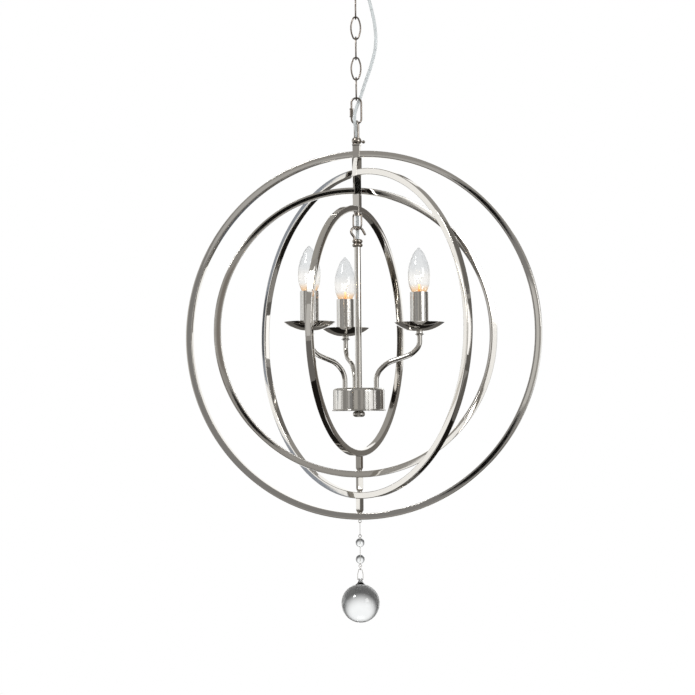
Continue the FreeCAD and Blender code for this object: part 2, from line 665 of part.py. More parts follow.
def body_can():
    """Spun can with a rounded shoulder and a rolled lip, drilled for the tube and the arms."""
    inner_radius = CAN_RADIUS - CAN_WALL
    lip = CAN_RADIUS + CAN_LIP
    edge = CAN_EDGE - CAN_WALL
    bulge = 0.207
    outer = revolved([(0, can_bottom), (lip, can_bottom), (lip, can_bottom + 2.0, 0.4),
                      (CAN_RADIUS, can_bottom + 2.6), (CAN_RADIUS, can_top - CAN_EDGE),
                      (CAN_RADIUS - CAN_EDGE, can_top, CAN_EDGE * math.sqrt(2) * bulge), (0, can_top)])
    inner = revolved([(0, can_bottom - 1), (inner_radius, can_bottom - 1),
                      (inner_radius, can_top - CAN_EDGE),
                      (inner_radius - edge, can_top - CAN_WALL, edge * math.sqrt(2) * bulge),
                      (0, can_top - CAN_WALL)])
    body = outer.cut(inner).cut(cylinder(SPIGOT_RADIUS, can_bottom, can_top + 1))
    for i, azimuth, out in candle_places():
        spot = out * ARM_CIRCLE
        body = body.cut(cylinder(ARM_RADIUS, can_top - CAN_EDGE, can_top + 1, spot.x, spot.y))
    return body


def can_cover():
    """Flat plate that closes the can from below."""
    return tube(CAN_RADIUS - CAN_WALL, SPIGOT_RADIUS, can_bottom, can_bottom + COVER_THICKNESS)


def finial():
    """Flattened turned ball screwed on the spigot under the cover."""
    low = can_bottom - FINIAL_HEIGHT
    flat = FINIAL_RADIUS - FINIAL_HEIGHT * 0.48
    body = revolved([(0, low), (flat, low), (flat, can_bottom, FINIAL_RADIUS - flat), (0, can_bottom)])
    return body.cut(cylinder(SPIGOT_RADIUS, can_bottom - 4.0, can_bottom + 1))


def arm(azimuth):
    """Bent tube: up out of the can, out in a long lazy S, and up under the candle."""
    rise = (
        (ARM_CIRCLE, can_top - CAN_WALL - ARM_NUT_HEIGHT - 1.0),
        (ARM_CIRCLE, can_top + 22.0),
        (ARM_CIRCLE + 18.0, can_top + 39.0),
        (ARM_CIRCLE + 39.0, can_top + 45.0),
        (CANDLE_CIRCLE - 13.0, can_top + 51.0),
        (CANDLE_CIRCLE, can_top + 64.0),
        (CANDLE_CIRCLE, arm_top),
    )
    points = [Vector(r, 0, level) for r, level in rise]
    body = round_bar(points, ARM_RADIUS).cut(round_bar(points, ARM_RADIUS - ARM_WALL))
    return turned(body, azimuth)


def arm_nut(spot):
    """Hexagon nut that holds an arm inside the can."""
    high = can_top - CAN_WALL
    nut = hexagon(ARM_NUT_FLATS, high - ARM_NUT_HEIGHT, high, spot.x, spot.y)
    return nut.cut(cylinder(ARM_RADIUS, high - ARM_NUT_HEIGHT - 1, high + 1, spot.x, spot.y))


def knuckle(spot):
    """Flared turned cup between the arm's end and the pan."""
    body = revolved([(0, arm_top), (ARM_RADIUS + 0.6, arm_top), (KNUCKLE_RADIUS, arm_top + 1.4, -0.4),
                     (KNUCKLE_RADIUS, arm_top + 2.6, 0.5), (ARM_RADIUS + 1.0, arm_top + 4.0, -0.5),
                     (ARM_RADIUS + 1.0, knuckle_top), (0, knuckle_top)])
    return moved(body.cut(cylinder(SPIGOT_RADIUS - 1, arm_top - 1, knuckle_top + 1)), spot.x, spot.y)


def drip_pan(spot):
    """Spun dish of one even curve, part of a hollow sphere, pressed flat on the knuckle."""
    low = knuckle_top
    rim = knuckle_top + PAN_DEPTH
    rise = (PAN_RADIUS ** 2 + PAN_DEPTH ** 2 - PAN_FLAT ** 2) / (2 * PAN_DEPTH)
    curve = math.hypot(PAN_FLAT, rise)
    middle = Vector(0, 0, low + rise)
    outer = Part.makeSphere(curve, middle).common(cylinder(2 * PAN_RADIUS, low, rim))
    hollow = cylinder(2 * PAN_RADIUS, low + PAN_WALL, rim + 1)
    inner = Part.makeSphere(curve - PAN_WALL, middle).common(hollow)
    bore = cylinder(SPIGOT_RADIUS - 1, low - 1, low + PAN_WALL + 1)
    return moved(outer.cut(inner).cut(bore), spot.x, spot.y)


def candle_cup(spot):
    """Flared turned cup that stands in the pan and lifts the candle clear of it."""
    low = knuckle_top + PAN_WALL
    seat = sleeve_base
    body = revolved([(0, low), (CUP_FOOT, low), (SEAT_RADIUS, seat - CUP_BAND, 0.8),
                     (SEAT_RADIUS, seat), (0, seat)])
    return moved(body.cut(cylinder(SPIGOT_RADIUS - 1, low - 1, seat + 1)), spot.x, spot.y)


def candle_sleeve(spot):
    """Bright metal candle tube."""
    return tube(SLEEVE_RADIUS, SLEEVE_RADIUS - SLEEVE_WALL, sleeve_base, sleeve_top, spot.x, spot.y)


def lamp_socket(spot):
    """Moulded candelabra socket on a short threaded nipple that runs down through the pan."""
    top = sleeve_base + SOCKET_HEIGHT
    bore = cylinder(BASE_RADIUS + 0.1, sleeve_base + SOCKET_FLOOR, top + 1)
    body = cylinder(SOCKET_RADIUS, sleeve_base, top).cut(bore)
    nipple = cylinder(SPIGOT_RADIUS - 1, arm_top, sleeve_base)
    return moved(body.fuse(nipple).removeSplitter(), spot.x, spot.y)


def lamp_base(spot):
    """Screw shell of the lamp with its rounded contact, and the glass stem and filament on it."""
    low = sleeve_base + SOCKET_FLOOR + SEAT_GAP
    high = sleeve_base + SOCKET_FLOOR + BASE_LENGTH
    shell = revolved([(0, low), (2.2, low), (BASE_RADIUS, low + 3.5, 0.5), (BASE_RADIUS, high), (0, high)])
    stem_top = sleeve_top + BULB_HEIGHT * 0.24
    stem_glass = revolved([(0, high), (3.6, high), (1.6, stem_top, -0.6), (0, stem_top)])
    return moved(shell.fuse(stem_glass).removeSplitter(), spot.x, spot.y)


def bulb_outline(offset, low):
    """Half outline of the torpedo glass, drawn in by an offset."""
    tip = sleeve_top + BULB_HEIGHT - offset * 1.6
    neck = 5.6 - offset
    shoulder = SLEEVE_RADIUS * 0.80 - offset
    belly = BULB_RADIUS - offset
    return [(0, low), (neck, low), (neck, sleeve_top - 4.0), (shoulder, sleeve_top, -0.6),
            (belly, sleeve_top + BULB_HEIGHT * 0.32, 1.6),
            (belly * 0.64, sleeve_top + BULB_HEIGHT * 0.78, 2.2),
            (1.0, tip, 1.4), (0, tip)]


def lamp_glass(spot):
    """Torpedo-shaped glass envelope, blown thin."""
    low = sleeve_base + SOCKET_FLOOR + BASE_LENGTH
    outer = revolved(bulb_outline(0.0, low))
    inner = revolved(bulb_outline(BULB_WALL, low - 1))
    return moved(outer.cut(inner), spot.x, spot.y)


# --- the nodes ------------------------------------------------------------------------------
save("mounting_strap", mounting_strap())
save("canopy", canopy())
save("canopy_nipple", canopy_nipple())
save("nipple_nuts", *nipple_nuts())
save("canopy_loop", canopy_loop())
save("canopy_ring", canopy_ring())
for i in range(LINK_COUNT):
    save("chain_link_%d" % (i + 1), chain_link(i))
save("quick_link", quick_link())
save("quick_link_nut", quick_link_nut())
save("chain_cord", cord(CHAIN_CORD_ROUTE, "chain_cord"))
save("fixture_loop", fixture_loop())
save("thumb_screw", thumb_screw())
save("stem", stem())
save("collar_plate", collar_plate())
save("lower_loop", lower_loop())
save("hook_cord", cord(HOOK_CORD_ROUTE, "hook_cord"))
for i in range(HOOP_COUNT):
    save("hoop_%d" % (i + 1), hoop(i))
save("bottom_rod", bottom_rod())
save("spacers", *[spacer(i) for i in range(HOOP_COUNT - 1)])
save("stop_rings", *[stop_ring(i) for i in range(HOOP_COUNT - 1)])
save("eye_screw", eye_screw())
save("drop_link", drop_link())
save("bead_pin", bead_pin())
for i in range(2):
    save("glass_bead_%d" % (i + 1), glass_bead(bead_middles[i]))
save("jump_ring", jump_ring())
save("bail", bail())
save("glass_ball", glass_ball())
save("hook", hook())
save("centre_tube", centre_tube())
save("body_can", body_can())
save("can_cover", can_cover())
save("finial", finial())
save("arm_nuts", *[arm_nut(out * ARM_CIRCLE) for i, azimuth, out in candle_places()])
save("knuckles", *[knuckle(out * CANDLE_CIRCLE) for i, azimuth, out in candle_places()])
save("candle_cups", *[candle_cup(out * CANDLE_CIRCLE) for i, azimuth, out in candle_places()])
save("lamp_sockets", *[lamp_socket(out * CANDLE_CIRCLE) for i, azimuth, out in candle_places()])
for i, azimuth, out in candle_places():
    spot = out * CANDLE_CIRCLE
    save("arm_%d" % (i + 1), arm(azimuth))
    save("drip_pan_%d" % (i + 1), drip_pan(spot))
    save("candle_sleeve_%d" % (i + 1), candle_sleeve(spot))
    save("lamp_base_%d" % (i + 1), lamp_base(spot))
    save("lamp_glass_%d" % (i + 1), lamp_glass(spot))
print("hoop centre", hoop_centres, "lowest point", ball_middle - BALL_RADIUS)
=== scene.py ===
import math

import bmesh
import bpy
from mathutils import Matrix, Vector


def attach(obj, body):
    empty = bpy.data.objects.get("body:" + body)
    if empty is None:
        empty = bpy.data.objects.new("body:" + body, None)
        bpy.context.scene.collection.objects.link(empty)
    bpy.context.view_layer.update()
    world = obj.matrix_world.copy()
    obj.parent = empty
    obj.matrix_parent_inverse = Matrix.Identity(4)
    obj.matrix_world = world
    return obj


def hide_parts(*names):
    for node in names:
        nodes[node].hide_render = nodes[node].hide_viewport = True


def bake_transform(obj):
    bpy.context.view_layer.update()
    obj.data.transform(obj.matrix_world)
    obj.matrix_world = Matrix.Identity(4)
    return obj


# %% [markdown]
# The lamp is four square-bar hoops that turn on one hollow stem, with a small three-candle
# cluster hooked inside them and a glass ball hung below. Nearly everything is polished metal
# or clear glass, so the shapes have to be clean: a mirror shows every facet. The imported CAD
# model gives the exact places, and each visible piece is made again here with fine, smooth
# surfaces that stand exactly where the CAD solid stands.

# %% Load the fixed frame
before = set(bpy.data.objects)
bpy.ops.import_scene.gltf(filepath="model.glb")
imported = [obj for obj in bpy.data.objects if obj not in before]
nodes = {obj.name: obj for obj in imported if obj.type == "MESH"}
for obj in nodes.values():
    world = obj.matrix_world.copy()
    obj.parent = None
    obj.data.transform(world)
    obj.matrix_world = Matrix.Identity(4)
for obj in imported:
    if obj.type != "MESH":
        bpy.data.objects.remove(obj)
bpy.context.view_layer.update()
MM = 0.001

# %% [markdown]
# The photograph was taken from 2.4 m away, a little below the candles, looking up by almost
# three degrees. A camera could be set by eye, but mirror pieces show every error, so its
# place, its three axes and its lens were worked out from the ellipses that the four hoops
# make in the picture. A camera looks along its own -Z axis.

# %% The camera
FOCAL_PIXELS = 1527.17
PICTURE_PIXELS = 695
CAMERA_BACK = -2398.0
CAMERA_HEIGHT = -775.3
camera_data = bpy.data.cameras.new("camera")
camera_data.sensor_width = 36.0
camera_data.lens = camera_data.sensor_width * FOCAL_PIXELS / PICTURE_PIXELS
camera_data.clip_end = 50.0
camera = bpy.data.objects.new("camera", camera_data)
right = Vector((0.99993742, 0.00756512, -0.00824194))
up = Vector((0.00860138, -0.04877894, 0.99877256))
back = -Vector((-0.00715381, 0.99878095, 0.04884095))
camera.matrix_world = Matrix((
    (right.x, up.x, back.x, 0.0),
    (right.y, up.y, back.y, CAMERA_BACK * MM),
    (right.z, up.z, back.z, CAMERA_HEIGHT * MM),
    (0, 0, 0, 1),
))
bpy.context.scene.collection.objects.link(camera)
bpy.context.scene.camera = camera
print("lens", round(camera_data.lens, 2), "mm")

# %% [markdown]
# Most pieces of a lamp like this are turned or spun: canopy, pans, can, beads, bulbs and the
# glass ball. Their shape is one outline revolved round an axis. The outline is a chain of
# points; a third number bulges the line that ends there into an arc, drawn by spinning the
# last vertex round the arc's centre. Then one spin makes the surface. A Screw modifier would
# do the same, but a spin is finished at once and closes its own seam and poles.

# %% Turned pieces
def arc_onward(bm, vertex, x, z, bulge, fine):
    """Spins a vertex along an arc that ends at x, z and bulges sideways."""
    start = vertex.co.copy()
    end = Vector((x, 0, z))
    chord = end - start
    outward = Vector((chord.z, 0, -chord.x)).normalized()
    radius = (chord.length_squared / 4 + bulge * bulge) / (2 * abs(bulge))
    lean = math.copysign(radius - abs(bulge), bulge)
    centre = (start + end) / 2 - outward * lean
    angle = 2 * math.asin(min(1.0, chord.length / 2 / radius))
    if abs(bulge) > chord.length / 2:
        angle = 2 * math.pi - angle
    steps = max(4, int(math.degrees(angle) / fine))
    for turn in (angle, -angle):
        swung = Matrix.Rotation(turn, 3, "Y") @ (start - centre) + centre
        if (swung - end).length < radius * 1e-3:
            bmesh.ops.spin(bm, geom=[vertex], cent=centre, axis=(0, 1, 0), angle=turn, steps=steps)
            break
    bm.verts.ensure_lookup_table()
    return bm.verts[-1]


def outline(bm, points, fine=5.0):
    """A chain of lines and arcs in the XZ plane, from points in millimetres."""
    vertex = bm.verts.new((points[0][0], 0, points[0][1]))
    for point in points[1:]:
        if len(point) == 3:
            vertex = arc_onward(bm, vertex, *point, fine)
        else:
            following = bm.verts.new((point[0], 0, point[1]))
            bm.edges.new((vertex, following))
            vertex = following


def spin_round(bm, axis, steps):
    """Spins a line once round an axis through the origin and closes the seam."""
    bmesh.ops.spin(bm, geom=bm.verts[:] + bm.edges[:], cent=(0, 0, 0), axis=axis,
                   angle=2 * math.pi, steps=steps, use_merge=True)


def revolve(bm, points, steps=96, spot=(0, 0), fine=5.0):
    """Adds the outline's surface of revolution round an upright axis."""
    shape = bmesh.new()
    outline(shape, points, fine)
    spin_round(shape, (0, 0, 1), steps)
    bmesh.ops.remove_doubles(shape, verts=shape.verts[:], dist=1e-4)
    bmesh.ops.translate(shape, verts=shape.verts[:], vec=(spot[0], spot[1], 0))
    join(bm, shape)


def join(bm, shape):
    """Moves one bmesh's surface into another."""
    mesh = bpy.data.meshes.new("part")
    shape.to_mesh(mesh)
    shape.free()
    bm.from_mesh(mesh)
    bpy.data.meshes.remove(mesh)


made = []


def object_from(name, bm):
    """Turns a bmesh into an object of the scene."""
    mesh = bpy.data.meshes.new(name)
    bm.to_mesh(mesh)
    bm.free()
    thing = bpy.data.objects.new(name, mesh)
    bpy.context.scene.collection.objects.link(thing)
    return thing


def smooth_piece(name, bm, material):
    """A smooth-shaded piece of one material."""
    piece = object_from(name, bm)
    for face in piece.data.polygons:
        face.use_smooth = True
    piece.data.materials.append(material)
    made.append(piece)
    return piece


def finish_piece(name, bm, body, material, replaced=(), edge=0.0, keep_normals=False, crease=32):
    """Turns a bmesh in millimetres into a piece that rides on its body.

    edge is the radius of softened edges, and faces that meet at more than crease degrees keep
    a sharp line between them, so that a flat face stays a flat mirror.
    """
    if not keep_normals:
        bmesh.ops.recalc_face_normals(bm, faces=bm.faces[:])
    bmesh.ops.scale(bm, verts=bm.verts[:], vec=(MM, MM, MM))
    piece = smooth_piece(name, bm, material)
    piece.data.set_sharp_from_angle(angle=math.radians(crease))
    if edge:
        rounding = piece.modifiers.new("edge", "BEVEL")
        rounding.width = edge * MM
        rounding.segments = 2
        rounding.limit_method = "ANGLE"
        rounding.angle_limit = math.radians(40)
        rounding.harden_normals = True
    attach(piece, body)
    if replaced:
        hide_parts(*replaced)
    return piece


def turned(name, points, body, material, replaced=(), steps=96, spot=(0, 0), edge=0.0, fine=5.0):
    """A piece that is one turned outline."""
    bm = bmesh.new()
    revolve(bm, points, steps, spot, fine)
    return finish_piece(name, bm, body, material, replaced, edge)


def plain(inner, outer, low, high):
    """The outline of a plain sleeve, or of a rod where inner is 0."""
    corners = [(inner, low), (outer, low), (outer, high), (inner, high)]
    return corners + corners[:1] if inner else corners


print("helpers for turned pieces", revolve.__name__, turned.__name__, plain.__name__)


# %% [markdown]
# The rest is bar, tube and wire, bent: arms, links, loops, the hook and the fine wire of the
# glass drop. A curve with a round bevel would be quicker, but it pinches in tight bends. So
# each bar starts as one ring of edges that is pushed along a straight run, then spun round
# the bend's centre, and so on to the far end, the way a bending machine works.

# %% Bent bars and wires
def bent_bar(bm, points, radius, bend=None, closed=False, sides=20, step=7.5, reach_limit=1e3):
    """A round bar along straight runs and tangent bends through points in millimetres.

    bend is one radius for every corner, a list with a radius for each, or None for bends as
    long as the runs allow, up to reach_limit.
    """
    points = [Vector(p) for p in points]
    heading = (points[1] - points[0]).normalized()
    aim = heading.to_track_quat("Z", "X").to_matrix().to_4x4()
    shape = bmesh.new()
    bmesh.ops.create_circle(shape, cap_ends=not closed, segments=sides, radius=radius,
                            matrix=Matrix.Translation(points[0]) @ aim)
    front = shape.edges[:]
    place = points[0]
    corners = list(zip(points, points[1:], points[2:]))
    if closed:
        corners.append((points[-2], points[-1], points[0]))
    bends = bend if isinstance(bend, list) else [bend] * len(corners)
    for (before, corner, after), bend_radius in zip(corners, bends):
        arrive = (corner - before).normalized()
        leave = (after - corner).normalized()
        turn = arrive.angle(leave)
        reach = min(0.45 * min((corner - before).length, (after - corner).length), reach_limit)
        if bend_radius:
            reach = bend_radius * math.tan(turn / 2)
        front, place = run(shape, front, place, corner - arrive * reach)
        axis = arrive.cross(leave).normalized()
        towards = axis.cross(arrive)
        centre = place + towards * (reach / math.tan(turn / 2))
        steps = max(2, round(math.degrees(turn) / step))
        spun = bmesh.ops.spin(shape, geom=vertices_of(front) + front, cent=centre, axis=axis,
                              angle=turn, steps=steps)
        front = [g for g in spun["geom_last"] if isinstance(g, bmesh.types.BMEdge)]
        place = corner + leave * reach
    front, place = run(shape, front, place, points[0] if closed else points[-1])
    if not closed:
        bmesh.ops.contextual_create(shape, geom=front)
    bmesh.ops.remove_doubles(shape, verts=shape.verts[:], dist=5e-3)
    bmesh.ops.recalc_face_normals(shape, faces=shape.faces[:])
    join(bm, shape)


def turn_and_lift(bm, azimuth, height=0.0):
    """Turns a shape round the upright axis, then lifts it."""
    bmesh.ops.rotate(bm, verts=bm.verts[:], cent=(0, 0, 0),
                     matrix=Matrix.Rotation(-math.radians(azimuth), 3, "Z"))
    bmesh.ops.translate(bm, verts=bm.verts[:], vec=(0, 0, height))


def vertices_of(edges):
    """Every vertex of the edges, once."""
    return list({v for e in edges for v in e.verts})


def run(shape, front, place, target):
    """Pushes the open ring of edges straight on to the target."""
    if (target - place).length < 1e-4:
        return front, place
    out = bmesh.ops.extrude_edge_only(shape, edges=front)["geom"]
    moved = [g for g in out if isinstance(g, bmesh.types.BMVert)]
    bmesh.ops.translate(shape, verts=moved, vec=target - place)
    return [g for g in out if isinstance(g, bmesh.types.BMEdge)], target


def plane_point(s, z, azimuth):
    """A point at s along an upright plane turned so that +s comes towards the viewer."""
    angle = math.radians(azimuth)
    return Vector((s * math.cos(angle), -s * math.sin(angle), z))


def oval(bm, wire, top, length, width, azimuth, sides):
    """A closed upright oval of wire: two half rings and two legs."""
    half = width / 2 - wire / 2
    high = top - wire / 2
    low = top - length + wire / 2
    middle = (high + low) / 2
    corners = [(-half, middle), (-half, high), (half, high), (half, low), (-half, low)]
    bent_bar(bm, [plane_point(s, z, azimuth) for s, z in corners], wire / 2, bend=half,
             closed=True, sides=sides)


def curved_link(bm, wire, top, length, width, azimuth, lean=25.0):
    """A chain link with bowed sides: two wide arcs and two tight ones, all tangent."""
    sine = math.sin(math.radians(lean))
    cosine = math.cos(math.radians(lean))
    across = width / 2 - wire / 2
    along = length / 2 - wire / 2
    wide = (along * cosine - across * (1 - sine)) / (sine * cosine - (1 - sine) * (1 - cosine))
    tight = (across - wide * (1 - cosine)) / cosine
    side = across + wide * (1 / cosine - 1)
    end = along + tight * (1 / sine - 1)
    middle = top - length / 2
    share = wide * math.tan(math.radians(lean)) / math.hypot(side, end)
    start = (side * (1 - share), middle - end * share)
    corners = [start, (side, middle), (0, middle + end), (-side, middle), (0, middle - end)]
    bent_bar(bm, [plane_point(s, z, azimuth) for s, z in corners], wire / 2,
             bend=[wide, tight, wide, tight], closed=True)


print("helpers for bent pieces", bent_bar.__name__, oval.__name__, curved_link.__name__)

# %% [markdown]
# Materials. Colours are written as sRGB hex values, as they are read off a picture, and one
# function turns them to linear. Node trees could be wired by hand each time, but a few small
# functions keep each finish down to the lines that make it different.

# %% Colour and node helpers
def linear(code):
    """sRGB hex to linear RGBA."""
    parts = [int(code[i:i + 2], 16) / 255 for i in (1, 3, 5)]
    return [p / 12.92 if p <= 0.04045 else ((p + 0.055) / 1.055) ** 2.4 for p in parts] + [1.0]


def node(tree, kind, links=None, **settings):
    """Adds a node. links maps an input to the (node, output) that feeds it."""
    added = tree.nodes.new("ShaderNode" + kind)
    for key, value in settings.items():
        label = key.replace("_", " ")
        if label in added.inputs:
            added.inputs[label].default_value = value
        else:
            setattr(added, key, value)
    for key, (source, output) in (links or {}).items():
        tree.links.new(source.outputs[output], added.inputs[key])
    return added


def new_material(name, **shader):
    """A material with its tree, its Principled shader and the object's own coordinates."""
    material = bpy.data.materials.new(name)
    material.use_nodes = True
    tree = material.node_tree
    principled = tree.nodes["Principled BSDF"]
    for key, value in shader.items():
        principled.inputs[key.replace("_", " ")].default_value = value
    return material, tree, principled, node(tree, "TexCoord")


def noise(tree, place, size, detail=2.0):
    """Soft noise with patches of about this size in millimetres."""
    return node(tree, "TexNoise", {"Vector": (place, "Object")},
                Scale=1 / (size * MM), Detail=detail)


def two_tones(tree, factor, first, second, target=None):
    """A mix of two close colours, wired to an input if one is given."""
    mix = node(tree, "Mix", {"Factor": factor}, data_type="RGBA")
    mix.inputs["A"].default_value = linear(first)
    mix.inputs["B"].default_value = linear(second)
    if target:
        tree.links.new(mix.outputs[2], target)
    return mix


print("middle grey is", round(linear("#808080")[0], 3), "in linear light")

# %% [markdown]
# The big pieces are steel and brass with a polished nickel plate: warmer and a little darker
# than chrome. A perfect mirror would look false here. The buffing wheel leaves a faint
# unevenness that makes long reflections waver, and wiping leaves small changes of gloss.

# %% Polished nickel plate
def polished_nickel(name, colour, roughness, wave_mm, depth):
    """Buffed nickel: a slow waver in the surface, and faint wiping marks in the gloss."""
    material, tree, principled, place = new_material(
        name, Metallic=1.0, Roughness=roughness, Base_Color=linear(colour))
    wave = noise(tree, place, wave_mm, 1.0)
    bump = node(tree, "Bump", {"Height": (wave, "Fac")}, Strength=1.0, Distance=depth * MM)
    tree.links.new(bump.outputs["Normal"], principled.inputs["Normal"])
    haze = noise(tree, place, 6, 4.0)
    gloss = node(tree, "MapRange", {"Value": (haze, "Fac")}, From_Min=0.3, From_Max=0.7,
                 To_Min=roughness * 0.7, To_Max=roughness * 1.4)
    tree.links.new(gloss.outputs["Result"], principled.inputs["Roughness"])
    return material


# Rolled bar, polished and plated: a mirror whose long reflections waver slowly along it.
hoop_nickel = polished_nickel("nickel_plate_polished_bar", "#D9D6D1", 0.04, 40, 0.006)
# Spun and turned pieces, buffed on the lathe: a clean mirror that follows every curve.
turned_nickel = polished_nickel("nickel_plate_polished_spun", "#DAD7D2", 0.04, 22, 0.003)
# Drawn tube, brushed fine before plating: soft upright bands of light instead of a mirror.
satin_nickel = polished_nickel("nickel_plate_satin_drawn", "#D4D2CE", 0.12, 25, 0.003)
# Wire tumbled in a drum and plated thin: darker and browner, with only broad highlights.
chain_nickel = polished_nickel("nickel_plate_tumbled_wire", "#938B83", 0.22, 5, 0.02)
# Small castings, buffed by hand: their uneven skin breaks the highlights up.
cast_nickel = polished_nickel("nickel_plate_buffed_casting", "#ADA69E", 0.12, 8, 0.015)
nickels = (hoop_nickel, turned_nickel, satin_nickel, chain_nickel, cast_nickel)
print("nickel finishes", [m.name for m in nickels])

# %% [markdown]
# Steel that never shows much, such as the strap and its nuts, is zinc plated and slightly
# milky. The lamp sockets are moulded phenolic, nearly black, and the lamps' caps are brass.

# %% Zinc, phenolic and brass
# Pressed steel with bright zinc: a blue-grey, half dull metal with a faint spangle in it.
zinc, tree, principled, place = new_material(
    "steel_zinc_plated_pressed", Metallic=1.0, Roughness=0.35, Base_Color=linear("#B9BDBF"))
spangle = node(tree, "TexVoronoi", {"Vector": (place, "Object")}, Scale=1 / (4 * MM))
gloss = node(tree, "MapRange", {"Value": (spangle, "Distance")}, To_Min=0.28, To_Max=0.45)
tree.links.new(gloss.outputs["Result"], principled.inputs["Roughness"])

# Moulded phenolic: a near black with a low sheen and the brown flecks of its filler.
phenolic, tree, principled, place = new_material("phenolic_moulded", Roughness=0.45)
two_tones(tree, (noise(tree, place, 1.5, 3.0), "Fac"), "#141312", "#23201E",
          principled.inputs["Base Color"])

# Thin rolled brass: a yellow metal, already a little stained by handling.
brass, tree, principled, place = new_material("brass_rolled_cap", Metallic=1.0, Roughness=0.25)
two_tones(tree, (noise(tree, place, 3, 3.0), "Fac"), "#C9A55C", "#B8924A",
          principled.inputs["Base Color"])
print("plain finishes", zinc.name, phenolic.name, brass.name)

# %% [markdown]
# Clear glass bends what is behind it, so the ball shows the studio upside down, with a dark
# rim and a bright lower middle. The lamps are blown thin: their glass hardly bends light and
# only shows as a soft sheen and a grey edge. The lit filament and the clear cord follow.

# %% Glass
# Cut and polished lead glass: heavy, clear and nearly without colour, with a very slow
# unevenness that moves the glow inside it a little.
crystal, tree, principled, place = new_material(
    "lead_glass_polished", Roughness=0.0, IOR=1.52, Transmission_Weight=1.0)
seed = noise(tree, place, 18, 0.0)
bump = node(tree, "Bump", {"Height": (seed, "Fac")}, Strength=1.0, Distance=0.004 * MM)
tree.links.new(bump.outputs["Normal"], principled.inputs["Normal"])
two_tones(tree, (seed, "Fac"), "#FDFEFE", "#F9FBFB", principled.inputs["Base Color"])

LAMP_NECK = -574.4 * MM  # the candle's top, where the lamp comes out of it
PAINTED_GLOW_MIDDLE = LAMP_NECK + 19 * MM


def lamp_glass_with_painted_glow(name, clear, warm, glow, strength):
    """Glass, cool at the tip and warmer towards the neck, with a painted glow centred low on the filament
    that stands in for the halo of its light.
    """
    material, tree, principled, place = new_material(
        name, Roughness=0.02, IOR=1.45, Transmission_Weight=1.0)
    axis = node(tree, "SeparateXYZ", {"Vector": (place, "Object")})
    warmth = node(tree, "MapRange", {"Value": (axis, "Z")},
                  From_Min=LAMP_NECK + 12 * MM, From_Max=LAMP_NECK)
    cool = two_tones(tree, (noise(tree, place, 9), "Fac"), clear, "#ECEDEE")
    tint = node(tree, "Mix", {"Factor": (warmth, "Result")}, data_type="RGBA")
    tree.links.new(cool.outputs[2], tint.inputs["A"])
    tint.inputs["B"].default_value = linear(warm)
    tree.links.new(tint.outputs[2], principled.inputs["Base Color"])
    # Painted glow: the glass itself emits light, strongest round the filament and fading out 22 mm from it.
    away = node(tree, "Math", {0: (axis, "Z")}, operation="SUBTRACT")
    away.inputs[1].default_value = PAINTED_GLOW_MIDDLE
    away = node(tree, "Math", {0: (away, 0)}, operation="ABSOLUTE")
    lit = node(tree, "MapRange", {"Value": (away, 0)}, From_Min=22 * MM,
               From_Max=2 * MM, To_Max=strength, interpolation_type="SMOOTHSTEP")
    principled.inputs["Emission Color"].default_value = linear(glow)
    tree.links.new(lit.outputs["Result"], principled.inputs["Emission Strength"])
    return material


# Blown soda glass: a clear skin with a faint painted glow round the filament, in place of the halo of the
# filament's light.
lamp_glass = lamp_glass_with_painted_glow("soda_glass_blown", "#F7F8F8", "#FFE3C2", "#FFE9CC", 0.045)
# The pressed glass foot inside the lamp: solid, with the orange light of the hot wire painted into it as a
# warm tint and a painted glow.
mount_glass = lamp_glass_with_painted_glow("soda_glass_pressed_mount", "#F3E2CC", "#FFC27A", "#FF9A40", 1.2)

# Coiled tungsten at white heat: too bright to show any surface, a little yellower in places.
filament_glow, tree, principled, place = new_material(
    "tungsten_coiled_lit", Roughness=0.5, Emission_Strength=18.0)
two_tones(tree, (noise(tree, place, 2), "Fac"), "#FFD9A0", "#FFEFC8",
          principled.inputs["Emission Color"])

# Extruded clear vinyl over tinned wire: pale and milky, with a soft waxy shine.
cord_clear, tree, principled, place = new_material(
    "pvc_clear_extruded", Roughness=0.18, IOR=1.5, Transmission_Weight=0.35)
two_tones(tree, (noise(tree, place, 7), "Fac"), "#E9EDED", "#D9DFE1",
          principled.inputs["Base Color"])
print("glass and cord finishes", crystal.name, lamp_glass.name, cord_clear.name)

# %% [markdown]
# Ceiling fitting. It is just above the picture, but every such lamp has one: a spun canopy
# over a slotted strap, a collar ring and a cast loop. The canopy is a thin sheet of steel. A
# Solidify modifier could thicken one surface, but a closed outline gives it a true rim.

# %% Canopy, collar ring and canopy loop
CANOPY_LOW = -25
COLLAR_LOW = -31
LOOP_BASE = -34.8
canopy = [(8.3, CANOPY_LOW), (22.2, CANOPY_LOW), (63.5, -5, 7.0), (63.5, 0), (62.5, 0), (62.5, -5),
          (22.2, CANOPY_LOW + 1, -7.0), (8.3, CANOPY_LOW + 1), (8.3, CANOPY_LOW)]
turned("canopy_spun", canopy, "ceiling_fitting", turned_nickel, ["canopy"], edge=0.2)
collar = [(8, COLLAR_LOW), (12, COLLAR_LOW), (12, CANOPY_LOW, 1.0), (8, CANOPY_LOW), (8, COLLAR_LOW)]
turned("canopy_collar_ring", collar, "ceiling_fitting", turned_nickel, ["canopy_ring"], edge=0.4)


def bead_outline(radius, height, low, bore):
    """A turned bead: flat ends and one bulging arc between them."""
    end = radius * 0.72
    high = low + height
    return [(bore, low), (end, low), (end, high, radius - end), (bore, high), (bore, low)]


def bar_eye(bm, bar, width, top, foot, azimuth, sides=24):
    """The open eye of a cast loop: two legs and a half ring over them."""
    half = width / 2 - bar / 2
    crown = top - math.copysign(bar / 2, top - foot)
    corners = [(-half, foot), (-half, crown), (half, crown), (half, foot)]
    bent_bar(bm, [plane_point(s, z, azimuth) for s, z in corners], bar / 2, bend=half, sides=sides)


